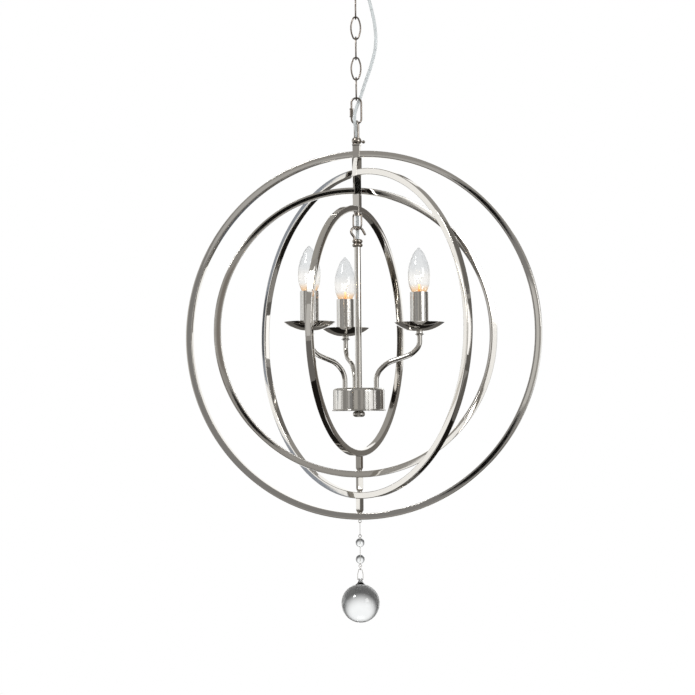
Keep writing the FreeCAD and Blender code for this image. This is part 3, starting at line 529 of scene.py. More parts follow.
canopy_loop = bmesh.new()
revolve(canopy_loop, bead_outline(7.8, 10, LOOP_BASE - 10, 2.9))
revolve(canopy_loop, [(2.9, -44), (8, -36), (8, -23), (4.75, -23), (4.75, -32), (2.9, -32), (2.9, -44)])
bar_eye(canopy_loop, 3.6, 18, LOOP_BASE - 38, LOOP_BASE - 7, 90)
finish_piece("canopy_loop_cast", canopy_loop, "ceiling_fitting", cast_nickel, ["canopy_loop"], edge=0.3)
print("ceiling fitting", len(made), "pieces")

# %% [markdown]
# The chain is bent from round wire and welded. An array of straight-sided ovals would be
# simpler, but these links have bowed sides, so each one is two wide and two tight arcs. Every
# second one stands edge-on. The quick link is a plain oval with a gap in its left leg, and
# the sleeve nut closes it.

# %% Chain
FIRST_LINK = -66.3
PITCH = 32.5
LINK_TOPS = [FIRST_LINK - PITCH * i for i in range(6)]
for number, top in enumerate(LINK_TOPS, 1):
    link = bmesh.new()
    curved_link(link, 2.6, top, 38, 17.8, 0 if number % 2 else 90)
    finish_piece(f"link_{number}_wire", link, f"link_{number}", chain_nickel,
                 [f"chain_link_{number}"])

QUICK_TOP = -260.9
QUICK_BOTTOM = -304.9
NUT_MIDDLE = QUICK_BOTTOM + 44 * 0.43
leg = 7.75
quick = bmesh.new()
corners = [(-leg, NUT_MIDDLE + 4.5), (-leg, QUICK_TOP - 1.5), (leg, QUICK_TOP - 1.5),
           (leg, QUICK_BOTTOM + 1.5), (-leg, QUICK_BOTTOM + 1.5), (-leg, NUT_MIDDLE - 4.5)]
bent_bar(quick, [plane_point(s, z, 0) for s, z in corners], 1.5, bend=leg)
finish_piece("quick_link_wire", quick, "quick_link", chain_nickel, ["quick_link"])
nut = bmesh.new()
low = NUT_MIDDLE - 6.8
high = NUT_MIDDLE + 6.8


def collar_on_leg(radius, bottom, top, steps):
    """A short sleeve on the quick link's left leg. Six steps make it a hexagon."""
    revolve(nut, plain(1.55, radius, bottom, top), steps, (-leg, 0))


collar_on_leg(3.2, low, low + 1.4, 32)
collar_on_leg(3.2, high - 1.4, high, 32)
collar_on_leg(2.75, low + 1, high - 1, 6)
finish_piece("quick_link_sleeve_nut", nut, "quick_nut", chain_nickel, ["quick_link_nut"], edge=0.15)
print("chain", LINK_TOPS[0], "to", QUICK_BOTTOM)

# %% [markdown]
# Loops on the stem. The upper one is cast with a turned bead for a foot and locked by a small
# ball-headed screw; the lower one is bent wire on a thin round seat, with a short foot wire
# from each leg. Each is one casting or one brazed piece, so its parts share a mesh.

# %% Fixture loop and lower loop
BEAD_BASE = -336.0
SCREW_HEIGHT = BEAD_BASE + 3.4
loop = bmesh.new()
revolve(loop, bead_outline(7.8, 10, BEAD_BASE, 2.9))
bar_eye(loop, 3.6, 18, BEAD_BASE + 38, BEAD_BASE + 7, 68)
finish_piece("fixture_loop_cast", loop, "spindle", cast_nickel, ["fixture_loop"], edge=0.3)
screw = bmesh.new()
bmesh.ops.create_uvsphere(screw, u_segments=24, v_segments=16, radius=2.7,
                          matrix=Matrix.Translation((10.8, 0, SCREW_HEIGHT)))
level = Matrix.Rotation(math.pi / 2, 4, "Y")
bmesh.ops.create_cone(screw, cap_ends=True, segments=16, radius1=1, radius2=1, depth=7,
                      matrix=Matrix.Translation((7.6, 0, SCREW_HEIGHT)) @ level)
finish_piece("thumb_screw_ball", screw, "spindle", cast_nickel, ["thumb_screw"])

STEM_BOTTOM = -446.9
lower = bmesh.new()
bar_eye(lower, 2.8, 19, STEM_BOTTOM - 26.4, STEM_BOTTOM - 2, 37)
revolve(lower, [(2.9, STEM_BOTTOM - 3.4), (5.4, STEM_BOTTOM - 3.4), (5.4, STEM_BOTTOM + 1.6),
                (4, STEM_BOTTOM + 1.6), (4, STEM_BOTTOM), (2.9, STEM_BOTTOM), (2.9, STEM_BOTTOM - 3.4)], 48)
for side in (-1, 1):
    bent_bar(lower, [plane_point(side * s, STEM_BOTTOM - 1.4, 37) for s in (8.1, 4.0)], 1.4)
finish_piece("lower_loop_wire", lower, "spindle", cast_nickel, ["lower_loop"], edge=0.2)
print("loops at", BEAD_BASE, STEM_BOTTOM)

# %% [markdown]
# Hoops. Each is one square bar rolled into a ring and polished, with a short square tube
# welded at its top. The bar's section is a square with small rounded corners, spun once
# round; bevelling a finished ring would leave uneven corners. Four nearly flat faces give
# four separate reflections, which is what makes the hoops read as bars.

# %% Hoops
# outer radius, azimuth, height of the centre, low end and length of the square tube
HOOPS = [(290, 16.0, -637.6, -358.0, 19.0), (259, 51.4, -635.7, -387.1, 29.1),
         (228, -13.4, -633.8, -416.2, 29.1), (197, -68.2, -631.9, -445.3, 29.1)]
BAR = 10.0
HALF = BAR / 2
CORNER = 1.0
CROWN = 0.02
ROUND = CORNER * (math.sqrt(2) - 1) / math.sqrt(2)


def square_tube(bm, width, low, high, azimuth, rounding=0.35):
    """An upright square bar with softened edges."""
    shape = bmesh.new()
    bmesh.ops.create_cube(shape, size=1.0)
    bmesh.ops.scale(shape, verts=shape.verts[:], vec=(width, width, high - low))
    bmesh.ops.bevel(shape, geom=shape.edges[:], offset=rounding, segments=2, profile=0.5,
                    affect="EDGES", material=-1)
    turn_and_lift(shape, azimuth, (low + high) / 2)
    join(bm, shape)


for number, (outer, azimuth, centre, low, height) in enumerate(HOOPS, 1):
    section = bmesh.new()
    inner = outer - BAR
    outline(section, [(inner + CORNER, -HALF), (outer - CORNER, -HALF, CROWN), (outer, CORNER - HALF, ROUND),
                      (outer, HALF - CORNER, CROWN), (outer - CORNER, HALF, ROUND),
                      (inner + CORNER, HALF, CROWN), (inner, HALF - CORNER, ROUND),
                      (inner, CORNER - HALF, CROWN), (inner + CORNER, -HALF, ROUND)], 9.0)
    bmesh.ops.rotate(section, verts=section.verts[:], cent=(0, 0, 0),
                     matrix=Matrix.Rotation(math.pi / 2, 3, "X"))
    bmesh.ops.remove_doubles(section, verts=section.verts[:], dist=1e-3)
    spin_round(section, (0, 1, 0), 360)
    turn_and_lift(section, azimuth, centre)
    bmesh.ops.recalc_face_normals(section, faces=section.faces[:])
    square_tube(section, 11.0, low + 0.05, low + height - 0.05, azimuth)
    finish_piece(f"hoop_{number}_bar", section, f"hoop_{number}", hoop_nickel,
                 [f"hoop_{number}"], keep_normals=True, crease=12)
print("hoops", [h[0] * 2 for h in HOOPS])

# %% [markdown]
# Small pieces that stack on the stem and on the rod at the bottom: the square collar plate,
# the three square spacers with tapered lower ends, and the stop ring under each. A four-sided
# cone would taper over its whole height, so a cube is cut near its end and only that end is
# drawn in.

# %% Collar plate and spacers
plate = bmesh.new()
square_tube(plate, 12.6, -339.0, -336.0, 16.0, rounding=1.0)
finish_piece("collar_plate_pressed", plate, "spindle", turned_nickel, ["collar_plate"], crease=12)

spacers = bmesh.new()
rings = bmesh.new()
RING = 1.25
bottoms = [centre - outer for outer, azimuth, centre, low, height in HOOPS]
for below, high, azimuth in zip(bottoms, bottoms[1:], (44.0, -24.0, 29.0)):
    low = below + BAR
    tube = bmesh.new()
    bmesh.ops.create_cube(tube, size=1.0)
    bmesh.ops.scale(tube, verts=tube.verts[:], vec=(8.5, 8.5, high - low - RING))
    bmesh.ops.translate(tube, verts=tube.verts[:], vec=(0, 0, (high + low + RING) / 2))
    bmesh.ops.bisect_plane(tube, geom=tube.verts[:] + tube.edges[:] + tube.faces[:],
                           plane_co=(0, 0, low + 5), plane_no=(0, 0, 1))
    foot = [v for v in tube.verts if v.co.z < low + 2]
    bmesh.ops.scale(tube, verts=foot, vec=(0.72, 0.72, 1))
    bmesh.ops.bevel(tube, geom=tube.edges[:], offset=0.3, segments=2, profile=0.5, affect="EDGES",
                    material=-1)
    turn_and_lift(tube, azimuth)
    join(spacers, tube)
    revolve(rings, plain(2.5, 4, low + 0.05, low + RING), 32)
finish_piece("spacers_square", spacers, "hoop_1", turned_nickel, ["spacers"], crease=12)
finish_piece("stop_rings_turned", rings, "hoop_1", turned_nickel, ["stop_rings"], edge=0.2)
print("bar bottoms at", [round(z, 1) for z in bottoms])

# %% [markdown]
# Candle cluster. The hook is bent rod that grows out of a turned double bead; below it a tube
# carries a spun can, and three bent arms rise out of the can's top. The hook's free end is a
# half ball, made by a small sphere at the end of the bar.

# %% Hook and centre tube
ROOT = -487.5
HOOK_LINE = -468.2
CAN_TOP = -721.9
BEAD = 6.2
HOOK_BAR = 2.0
hook = bmesh.new()
bend_points = [(-5.4, ROOT - 2.0), (-5.6, ROOT + 3.0), (-13.0, HOOK_LINE - 7.8), (-7.0, HOOK_LINE),
               (7.0, HOOK_LINE), (13.6, HOOK_LINE - 10.3)]
bend_points = [plane_point(s, z, -30) for s, z in bend_points]
bent_bar(hook, bend_points, HOOK_BAR)
bmesh.ops.create_uvsphere(hook, u_segments=20, v_segments=12, radius=HOOK_BAR,
                          matrix=Matrix.Translation(bend_points[-1]))
for low in (ROOT - BEAD, ROOT - 2 * BEAD):
    revolve(hook, bead_outline(8.3, BEAD, low, 2.9))
finish_piece("hook_and_collar", hook, "cluster", cast_nickel, ["hook"], edge=0.3)

centre_tube = plain(0, 5.2, CAN_TOP, ROOT - 2 * BEAD)
turned("centre_tube_drawn", centre_tube, "cluster", turned_nickel, ["centre_tube"], 64)
print("hook line", HOOK_LINE, "tube ends", CAN_TOP, ROOT - 2 * BEAD)

# %% [markdown]
# The can hides the arms' nuts. It is spun in one go, with a rounded shoulder and a small
# rolled bead round its open lower end. A flat plate closes it and a turned finial hangs
# below. The outline follows the sheet inside and out, so the rim has its real thickness.

# %% Can, cover and finial
CAN_BOTTOM = CAN_TOP - 36
can = [(39.4, CAN_BOTTOM), (41.9, CAN_BOTTOM), (41.9, CAN_BOTTOM + 2.0, 0.4), (40.6, CAN_BOTTOM + 2.6),
       (40.6, CAN_TOP - 5), (35.6, CAN_TOP, 1.46), (4, CAN_TOP), (4, CAN_TOP - 1.2),
       (35.6, CAN_TOP - 1.2), (39.4, CAN_TOP - 5, -1.11), (39.4, CAN_BOTTOM)]
turned("body_can_spun", can, "cluster", satin_nickel, ["body_can"], 160, edge=0.2)
cover = plain(4, 39.3, CAN_BOTTOM - 0.1, CAN_BOTTOM + 1.5)
turned("can_cover_plate", cover, "cluster", satin_nickel, ["can_cover"])
low = CAN_BOTTOM - 9.5
finial = [(0, low), (5.24, low), (5.24, CAN_BOTTOM, 4.56), (0, CAN_BOTTOM)]
turned("finial_turned", finial, "cluster", turned_nickel, ["finial"], 64, edge=0.3)
print("can from", CAN_TOP, "to", CAN_BOTTOM, "finial to", low)

# %% [markdown]
# The arms are thin tube bent in a long lazy S. Each ends in a knuckle under a spun pan that
# holds a cup and a bright sleeve. The pan is part of a sphere, so its outline is one arc
# outside and one inside, a millimetre apart.

# %% Arms, knuckles, pans and sleeves
ARM_TOP = CAN_TOP + 80
PAN_LOW = ARM_TOP + 6.5
PAN_FLAT = 9.4
PAN_DEPTH = 13.5
PAN_RADIUS = 40
RIM = PAN_LOW + PAN_DEPTH
REACH = 100
dish_rise = (PAN_RADIUS ** 2 + PAN_DEPTH ** 2 - PAN_FLAT ** 2) / (2 * PAN_DEPTH)
DISH = math.hypot(PAN_FLAT, dish_rise)
inner_flat = math.sqrt((DISH - 1) ** 2 - (dish_rise - 1) ** 2)
inner_rim = math.sqrt((DISH - 1) ** 2 - (dish_rise - PAN_DEPTH) ** 2)
SEAT = PAN_LOW + 14.5
SLEEVE_TOP = SEAT + 46.5
ARM_POINTS = [(29, CAN_TOP - 3), (29, CAN_TOP + 22), (47, CAN_TOP + 39), (68, CAN_TOP + 45),
              (87, CAN_TOP + 51), (REACH, CAN_TOP + 64), (REACH, ARM_TOP)]
candles = []
knuckles = bmesh.new()
cups = bmesh.new()


def sagitta(across, along, curve):
    """How far an arc of this radius bulges over a chord."""
    return curve - math.sqrt(curve ** 2 - (across ** 2 + along ** 2) / 4)


wall_bulge = sagitta(PAN_RADIUS - PAN_FLAT, PAN_DEPTH, DISH)
inner_bulge = sagitta(inner_rim - inner_flat, PAN_DEPTH - 1, DISH - 1)
pan = [(3, PAN_LOW), (PAN_FLAT, PAN_LOW), (PAN_RADIUS, RIM, wall_bulge), (inner_rim, RIM),
       (inner_flat, PAN_LOW + 1, -inner_bulge), (3, PAN_LOW + 1), (3, PAN_LOW)]
sleeve = plain(13.4, 14.3, SEAT, SLEEVE_TOP)
for number, azimuth in enumerate((18.0, 138.0, 258.0), 1):
    spot = plane_point(REACH, 0, azimuth)[:2]
    candles.append(spot)
    arm = bmesh.new()
    bent_bar(arm, [plane_point(r, z, azimuth) for r, z in ARM_POINTS], 4.0, sides=32, step=3)
    finish_piece(f"arm_{number}_bent", arm, "cluster", turned_nickel, [f"arm_{number}"])
    revolve(knuckles, [(0, ARM_TOP), (4.6, ARM_TOP), (6.7, ARM_TOP + 1.4, -0.4), (6.7, ARM_TOP + 2.6, 0.5),
                       (5.0, ARM_TOP + 4.0, -0.5), (5.0, PAN_LOW), (0, PAN_LOW)], 48, spot)
    turned(f"drip_pan_{number}_spun", pan, "cluster", turned_nickel, [f"drip_pan_{number}"],
           128, spot, edge=0.2)
    revolve(cups, [(3, PAN_LOW + 1), (8.8, PAN_LOW + 1), (17, SEAT - 3, 0.8), (17, SEAT), (3, SEAT),
                   (3, PAN_LOW + 1)], 96, spot)
    turned(f"candle_sleeve_{number}_drawn", sleeve, "cluster", satin_nickel,
           [f"candle_sleeve_{number}"], 96, spot, edge=0.2)
finish_piece("knuckles_turned", knuckles, "cluster", turned_nickel, ["knuckles"], edge=0.2)
finish_piece("candle_cups_turned", cups, "cluster", turned_nickel, ["candle_cups"], edge=0.2)
print("candles at", [(round(x, 1), round(y, 1)) for x, y in candles])

# %% [markdown]
# The lamps are lit. Their glass is a thin blown torpedo. A solid one would bend light like a
# lens, so a Solidify modifier gives it a real wall. Inside, a glass mount holds two supply
# wires, and a coiled filament zigzags between them, so hot that it looks white.

# %% Lamps
BULB = 69.5
BELLY = 17.1
base = SEAT + 36
low = SEAT + 14.3
tip = SLEEVE_TOP + BULB
torpedo = [(5.6, base), (5.6, SLEEVE_TOP - 4), (11.44, SLEEVE_TOP, -0.6),
           (BELLY, SLEEVE_TOP + BULB * 0.32, 1.6), (BELLY * 0.64, SLEEVE_TOP + BULB * 0.78, 2.2),
           (1.0, tip, 1.4), (0, tip)]
cap = [(0, low), (2.2, low), (6, low + 3.5, 0.5), (6, base), (0, base)]
mount = [(0, base), (3.6, base), (1.6, SLEEVE_TOP + 12, -0.6), (0, SLEEVE_TOP + 12.6)]
for number, spot in enumerate(candles, 1):
    body = f"lamp_{number}"
    envelope = turned(f"lamp_{number}_envelope", torpedo, body, lamp_glass,
                      [f"lamp_glass_{number}"], 64, spot)
    wall = envelope.modifiers.new("wall", "SOLIDIFY")
    wall.thickness = 0.5 * MM
    wall.offset = -1.0
    turned(f"lamp_{number}_cap", cap, body, brass, [f"lamp_base_{number}"], 48, spot)
    turned(f"lamp_{number}_mount", mount, body, mount_glass, steps=32, spot=spot)
    coil = bmesh.new()
    zigzag = [(-5, 26), (-3, 21), (-1, 27), (1, 21), (3, 27), (5, 25)]
    bent_bar(coil, [(spot[0] + s, spot[1], SLEEVE_TOP + z) for s, z in zigzag], 0.4, sides=8)
    finish_piece(f"lamp_{number}_filament", coil, body, filament_glow)
    wires = bmesh.new()
    for side in (-1, 1):
        lead = [(side * s, z) for s, z in ((1.0, 8), (1.2, 14), (5, 25))]
        bent_bar(wires, [(spot[0] + s, spot[1], SLEEVE_TOP + z) for s, z in lead], 0.25, sides=8)
    finish_piece(f"lamp_{number}_supports", wires, body, turned_nickel)
print("lamps", len(candles))

# %% [markdown]
# Glass drop: a screw eye, a thin link, a pin through two small glass beads, a jump ring and a
# stirrup of wire that carries the big glass ball by its short flared neck. All of it is soft
# wire bent over pins. The round ones are spun whole, the others bent like the arms.

# %% Fine wire
EYE_MIDDLE = -930.3
LINK_TOP = -930.7
PIN_TOP = -950.5
PIN_BOTTOM = -1002.0
RING_TOP = -999.8
BAIL_TOP = -1004.0
BALL_HOLE = -1020.7


def ring(bm, wire, radius, middle, azimuth):
    """A closed upright ring of wire round a point of the axis."""
    shape = bmesh.new()
    bmesh.ops.create_circle(shape, segments=14, radius=wire / 2,
                            matrix=Matrix.Translation((radius - wire / 2, 0, 0)))
    spin_round(shape, (0, 1, 0), 48)
    turn_and_lift(shape, azimuth, middle)
    bmesh.ops.recalc_face_normals(shape, faces=shape.faces[:])
    join(bm, shape)


eye = bmesh.new()
ring(eye, 1.1, 2.7, EYE_MIDDLE, 0)
revolve(eye, plain(0, 1.1, -928.1, -924), 24)
finish_piece("screw_eye_wire", eye, "hoop_1", turned_nickel, ["eye_screw"])
link = bmesh.new()
oval(link, 1.0, LINK_TOP, 22, 5.6, 90, sides=14)
finish_piece("drop_link_wire", link, "drop_link", turned_nickel, ["drop_link"])
pin = bmesh.new()
for middle in (PIN_TOP - 2.7, PIN_BOTTOM + 2.7):
    ring(pin, 1.0, 2.7, middle, 0)
revolve(pin, plain(0, 0.5, PIN_BOTTOM + 4.9, PIN_TOP - 4.9), 16)
finish_piece("bead_pin_wire", pin, "bead_strand", turned_nickel, ["bead_pin"])
jump = bmesh.new()
ring(jump, 1.0, 3.2, RING_TOP - 3.2, 90)
finish_piece("jump_ring_wire", jump, "jump_ring", turned_nickel, ["jump_ring"])
bail = bmesh.new()
half = 4.2
high = BAIL_TOP - 0.5
corners = [(0, BALL_HOLE), (-half, BALL_HOLE), (-half, high - 7.5), (-2.2, high), (2.2, high),
           (half, high - 7.5), (half, BALL_HOLE)]
bent_bar(bail, [Vector((s, 0, z)) for s, z in corners], 0.5, closed=True, sides=14, reach_limit=0.7)
finish_piece("bail_wire", bail, "bail", turned_nickel, ["bail"])
print("wire from", EYE_MIDDLE, "down to", BALL_HOLE)

# %% [markdown]
# Glass beads and ball, ground round and polished clear. A ready-made sphere has no bore and
# no neck, so both are turned: the beads round the pin's hole, and the ball with a neck that
# flares out of it in one hollow arc. Glass shows every facet twice, so the steps are fine.

# %% Glass beads and ball
for number, middle in enumerate((-963.4, -989.1), 1):
    bead = [(0.5, middle - 6.98), (0.5, middle + 6.98, 6.48), (0.5, middle - 6.98)]
    turned(f"glass_bead_{number}_polished", bead, "bead_strand", crystal,
           [f"glass_bead_{number}"], fine=4.0)
BALL = 30
FLARE = 11
neck_top = BALL_HOLE + 2
foot = neck_top - 10.6
centre = foot - math.sqrt(BALL ** 2 - FLARE ** 2)
ball = [(0, centre - BALL), (BALL, centre, 8.787), (FLARE, foot, sagitta(BALL - FLARE, foot - centre, BALL)),
        (3.0, BALL_HOLE - 1.6, -1.6), (3.0, neck_top), (0, neck_top)]
turned("glass_ball_polished", ball, "ball", crystal, ["glass_ball"], 192, fine=2.5)
print("ball centre", round(centre, 1))

# %% [markdown]
# Plain CAD solids that keep their shape: the strap, nipple and nuts behind the canopy, the
# arms' nuts in the can, the stem inside the square tubes, the rod and the sockets. Making
# them again would add nothing that shows, so they only get their finishes.

# %% Carried-over pieces
kept = {"mounting_strap": zinc, "canopy_nipple": zinc, "nipple_nuts": zinc, "arm_nuts": zinc,
        "stem": turned_nickel, "bottom_rod": turned_nickel, "lamp_sockets": phenolic}
for name, material in kept.items():
    nodes[name].data.materials.clear()
    nodes[name].data.materials.append(material)
print("kept as they are", sorted(kept))

# %% [markdown]
# The cord is clear flat two-core flex. It hangs in a slack bow beside the chain and slips
# through the quick link into the upper loop. A simulated fall would not land where the
# photograph shows it, so a smooth NURBS line through chosen points gives its route.

# %% Cord route
def route_points(name, points):
    """The points of a NURBS line through given control points, in metres."""
    curve = bpy.data.curves.new(name, "CURVE")
    curve.dimensions = "3D"
    curve.resolution_u = 24
    spline = curve.splines.new("NURBS")
    spline.points.add(len(points) - 1)
    for target, point in zip(spline.points, points):
        target.co = (*point, 1)
    spline.order_u = 3
    spline.use_endpoint_u = True
    guide = bpy.data.objects.new(name, curve)
    bpy.context.scene.collection.objects.link(guide)
    mesh = bpy.data.meshes.new_from_object(guide)
    found = [v.co.copy() for v in mesh.vertices]
    bpy.data.objects.remove(guide)
    bpy.data.meshes.remove(mesh)
    return found


CHAIN_ROUTE = [(0, 0, -0.041), (0.0001, 0, -0.0495), (0.0075, 0.0015, -0.062), (0.0155, 0.005, -0.082),
               (0.024, 0.008, -0.111), (0.031, 0.009, -0.144), (0.0325, 0.009, -0.176),
               (0.025, 0.0085, -0.207), (0.014, 0.008, -0.237), (0.0062, 0.0066, -0.261),
               (0.0008, 0.0024, -0.2755), (-0.0032, -0.0038, -0.289), (-0.003, -0.0054, -0.303),
               (0, -0.0001, -0.318), (0, 0, -0.328)]
HOOK_ROUTE = [(0, 0, -0.4448), (0, 0.00005, -0.4552), (0.0001, 0.0065, -0.4633),
              (0.0001, 0.0066, -0.4737), (0, 0.00005, -0.4818), (0, 0, -0.4922)]
chain_line = route_points("chain_route", CHAIN_ROUTE)
hook_line = route_points("hook_route", HOOK_ROUTE)
print("route points", len(chain_line), len(hook_line))

# %% [markdown]
# The chain can swing, so the cord beside it is cut at every link into separate lengths,
# each starting where the one above ends. The short cord at the hook is one more length.

# %% Cord lengths
def flex_section(degrees):
    """A point of the flat section, half as thick as wide and pressed flatter in its middle."""
    sine = math.sin(math.radians(degrees))
    return 0.0026 * math.cos(math.radians(degrees)), 0.0013 * sine * (1 - 0.3 * abs(sine) ** 6)


def flex_tube(name, line, across):
    """Two round cores side by side in one clear skin, along a line of points."""
    bm = bmesh.new()
    frames = []
    for index, point in enumerate(line):
        ahead = line[min(index + 1, len(line) - 1)] - line[max(index - 1, 0)]
        ahead.normalize()
        side = (across - ahead * across.dot(ahead)).normalized()
        frames.append((point, side, ahead.cross(side)))
    section = [flex_section(degrees) for degrees in range(0, 360, 18)]
    loops = []
    for point, side, lift in frames:
        loops.append([bm.verts.new(point + side * u + lift * v) for u, v in section])
    for before, after in zip(loops, loops[1:]):
        edges = [bm.edges.get((a, b)) or bm.edges.new((a, b))
                 for ringed in (before, after) for a, b in zip(ringed, ringed[1:] + ringed[:1])]
        bmesh.ops.bridge_loops(bm, edges=edges)
    for end in (loops[0], loops[-1]):
        bmesh.ops.contextual_create(bm, geom=end)
    bmesh.ops.recalc_face_normals(bm, faces=bm.faces[:])
    return smooth_piece(name, bm, cord_clear)


def line_length(line):
    """The length along a line of points."""
    return sum((b - a).length for a, b in zip(line, line[1:]))


# heights of the cuts, and of the joints between them, in metres
CUTS = [-0.041, -0.087, -0.119, -0.152, -0.184, -0.217, -0.249, -0.2835, -0.328]
last_point = []
for index, (high, low) in enumerate(zip(CUTS, CUTS[1:])):
    inside = last_point + [p for p in chain_line if low - 1e-6 <= p.z <= high + 1e-6]
    last_point = inside[-1:]
    piece = flex_tube(f"chain_cord_{index + 1}", inside, Vector((1, 0.2, 0)))
    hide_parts("chain_cord")
    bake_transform(piece)
    print(piece.name, round(line_length(inside), 4))
short = flex_tube("hook_cord_1", hook_line, Vector((1, 0, 0)))
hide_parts("hook_cord")
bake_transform(short)
print(short.name, round(line_length(hook_line), 4))

# %% [markdown]
# Studio. Polished metal shows only what is round it. A white room alone would make the lamp
# vanish into the background, so, as a photographer does, large grey and black cards stand
# out of the picture. They are seen in the metal only, and cast no shadow.

# %% World and light
scene = bpy.context.scene
scene.view_settings.view_transform = "Standard"
world = bpy.data.worlds.new("white_studio")
scene.world = world
world.use_nodes = True
tree = world.node_tree
tree.nodes.clear()


def largest(tree, first, *others):
    """The largest of several outputs."""
    for other in others:
        first = (node(tree, "Math", {0: first, 1: other}, operation="MAXIMUM"), 0)
    return first


def seen_directly(tree):
    """1 where the eye, a reflection or a look through glass meets the surface, 0 for light."""
    path = node(tree, "LightPath")
    rays = ("Is Camera Ray", "Is Glossy Ray", "Is Transmission Ray")
    return largest(tree, *[(path, ray) for ray in rays])


# White paper all round: it looks full white, but lights the lamp with a little less.
level = node(tree, "MapRange", {"Value": seen_directly(tree)}, To_Min=0.8, To_Max=1.0)
backdrop = node(tree, "Background", {"Strength": (level, "Result")})
backdrop.inputs["Color"].default_value = (1, 1, 1, 1)
node(tree, "OutputWorld", {"Surface": (backdrop, "Background")})


def bare_material(name):
    """A material with an empty tree, and that tree."""
    material = bpy.data.materials.new(name)
    material.use_nodes = True
    material.node_tree.nodes.clear()
    return material, material.node_tree


def card_paint(name, shade):
    """An evenly glowing paint, brighter by what the nickel swallows."""
    paint, tree = bare_material(name)
    glow = node(tree, "Emission", Color=linear(shade), Strength=CARD_GAIN)
    node(tree, "OutputMaterial", {"Surface": (glow, "Emission")})
    return paint


def only_in_reflections(board):
    """Hides a card from the camera, and lets the lamps' light through it."""
    board.visible_camera = False
    board.visible_diffuse = False
    board.visible_shadow = False


def card(name, azimuth, elevation, width, height, shade, distance):
    """A card seen only in metal. Angles in degrees: azimuth from the camera to the left."""
    turn = math.radians(azimuth)
    lift = math.radians(elevation)
    way = Vector((-math.sin(turn) * math.cos(lift), -math.cos(turn) * math.cos(lift), math.sin(lift)))
    bm = bmesh.new()
    bmesh.ops.create_grid(bm, x_segments=1, y_segments=1, size=0.5)
    size = [2 * distance * math.tan(math.radians(angle / 2)) for angle in (width, height)]
    bmesh.ops.scale(bm, verts=bm.verts[:], vec=(size[0], size[1], 1))
    board = object_from(name, bm)
    board.location = MIDDLE + way * distance
    board.rotation_euler = (-way).to_track_quat("Z", "Y").to_euler()
    board.data.materials.append(card_paint(name, shade))
    only_in_reflections(board)
    board.visible_transmission = False


MIDDLE = Vector((0, 0, -0.70))
CARD_GAIN = 1.45
# name, azimuth, elevation, width and height in degrees, shade, distance in metres
STUDIO = [
    ("ceiling_left_grey", 120, 50, 110, 40, "#93918D", 56),
    ("ceiling_right_dark", -92, 38, 38, 34, "#64625F", 56),
    ("ceiling_behind_white", -160, 27, 40, 26, "#EBEBEA", 52),
    ("ceiling_front_grey", 10, 55, 60, 34, "#8C8A87", 56),
    ("softbox_front_left", 50, 41, 10, 22, "#FFFFFF", 46),
    ("front_grey", 32, 2.5, 17, 15, "#797877", 48),
    ("front_light_strip", 25.2, 2.8, 2.4, 5, "#B6B5B2", 46),
    ("front_grey_high", 33, 8, 10, 4, "#A2A19F", 47),
    ("front_low_dark", 44, -27, 40, 34, "#62605E", 52),
    ("front_spot_1", 27.2, 8.1, 2.6, 2.4, "#0A0908", 44),
    ("front_spot_2", 27.3, -1.2, 3.4, 3.2, "#0A0908", 44),
    ("front_left_light", 45, 7, 6, 26, "#B4B3B1", 48),
    ("front_middle_dark", -2, 0, 14, 40, "#7C7A77", 54),
    ("front_middle_light", 13, 0, 16, 40, "#A19E99", 54),
    ("front_right_grey", -13, 0, 10, 40, "#96938F", 54),
    ("front_left_edge", 65, 0, 12, 40, "#7F7D7A", 52),
    ("left_white", 104, 4, 50, 22, "#EBEBEA", 50),
    ("left_blue_grey", 106.9, 4, 6.2, 24, "#868C96", 48),
    ("front_right_white", -47, 0, 36, 40, "#EBEBEA", 50),
    ("right_spot_1", -24.7, 8.5, 6.4, 3.0, "#0A0908", 44),
    ("right_brown", -22, 4, 3, 4, "#75706B", 46),
    ("right_spot_2", -22.7, 0.2, 2.2, 2.2, "#0A0908", 44),
    ("right_low_light", -26, -1.6, 4.5, 2.4, "#918F8C", 46),
    ("softbox_right", -77, 1, 9, 26, "#FFFFFF", 47),
    ("right_dark", -97, 0, 30, 34, "#5C5A57", 50),
    ("right_high_grey", -78, 31, 14, 24, "#646260", 48),
    ("right_low_grey", -78, -30, 14, 20, "#807E7B", 48),
    ("behind_right_brown", -128, 2, 16, 40, "#56504A", 48),
    ("behind_right_white", -146, 5, 18, 34, "#EBEBEA", 49),
    ("behind_right_blue", -156, -18, 12, 8, "#575B62", 46),
    ("behind_white", 180, 4, 30, 36, "#EBEBEA", 50),
    ("behind_left_light", 141, 4, 16, 30, "#D0CFCD", 50),
    ("behind_left_grey", 150.5, 2, 6, 24, "#949290", 48),
    ("behind_left_low", 150.5, -13, 6, 6, "#605E5B", 46),
    ("nadir_white", 0, -89, 30, 30, "#FFFFFF", 48),
    ("left_low_white", 106.4, 0.3, 7, 2.2, "#EBEBEA", 45),
    ("left_dark", 106.6, 3.7, 6, 2.6, "#4E5258", 45),
    ("right_spot_3", -31.2, 0.7, 1.2, 1.0, "#1A1918", 44),
    ("behind_right_low", -138.5, -2, 7, 8, "#696662", 45),
    ("behind_right_high", -138, 10.7, 8, 6.6, "#5C5956", 45),
]
for row in STUDIO:
    card("card_" + row[0], *row[1:])
for step in range(12):
    card("card_floor_dark_%d" % step, step * 30, -56, 24, 26, "#191715", 52)
    card("card_floor_grey_%d" % step, step * 30, -29, 32, 34, "#595754", 60)
print("cards", len(STUDIO) + 24)

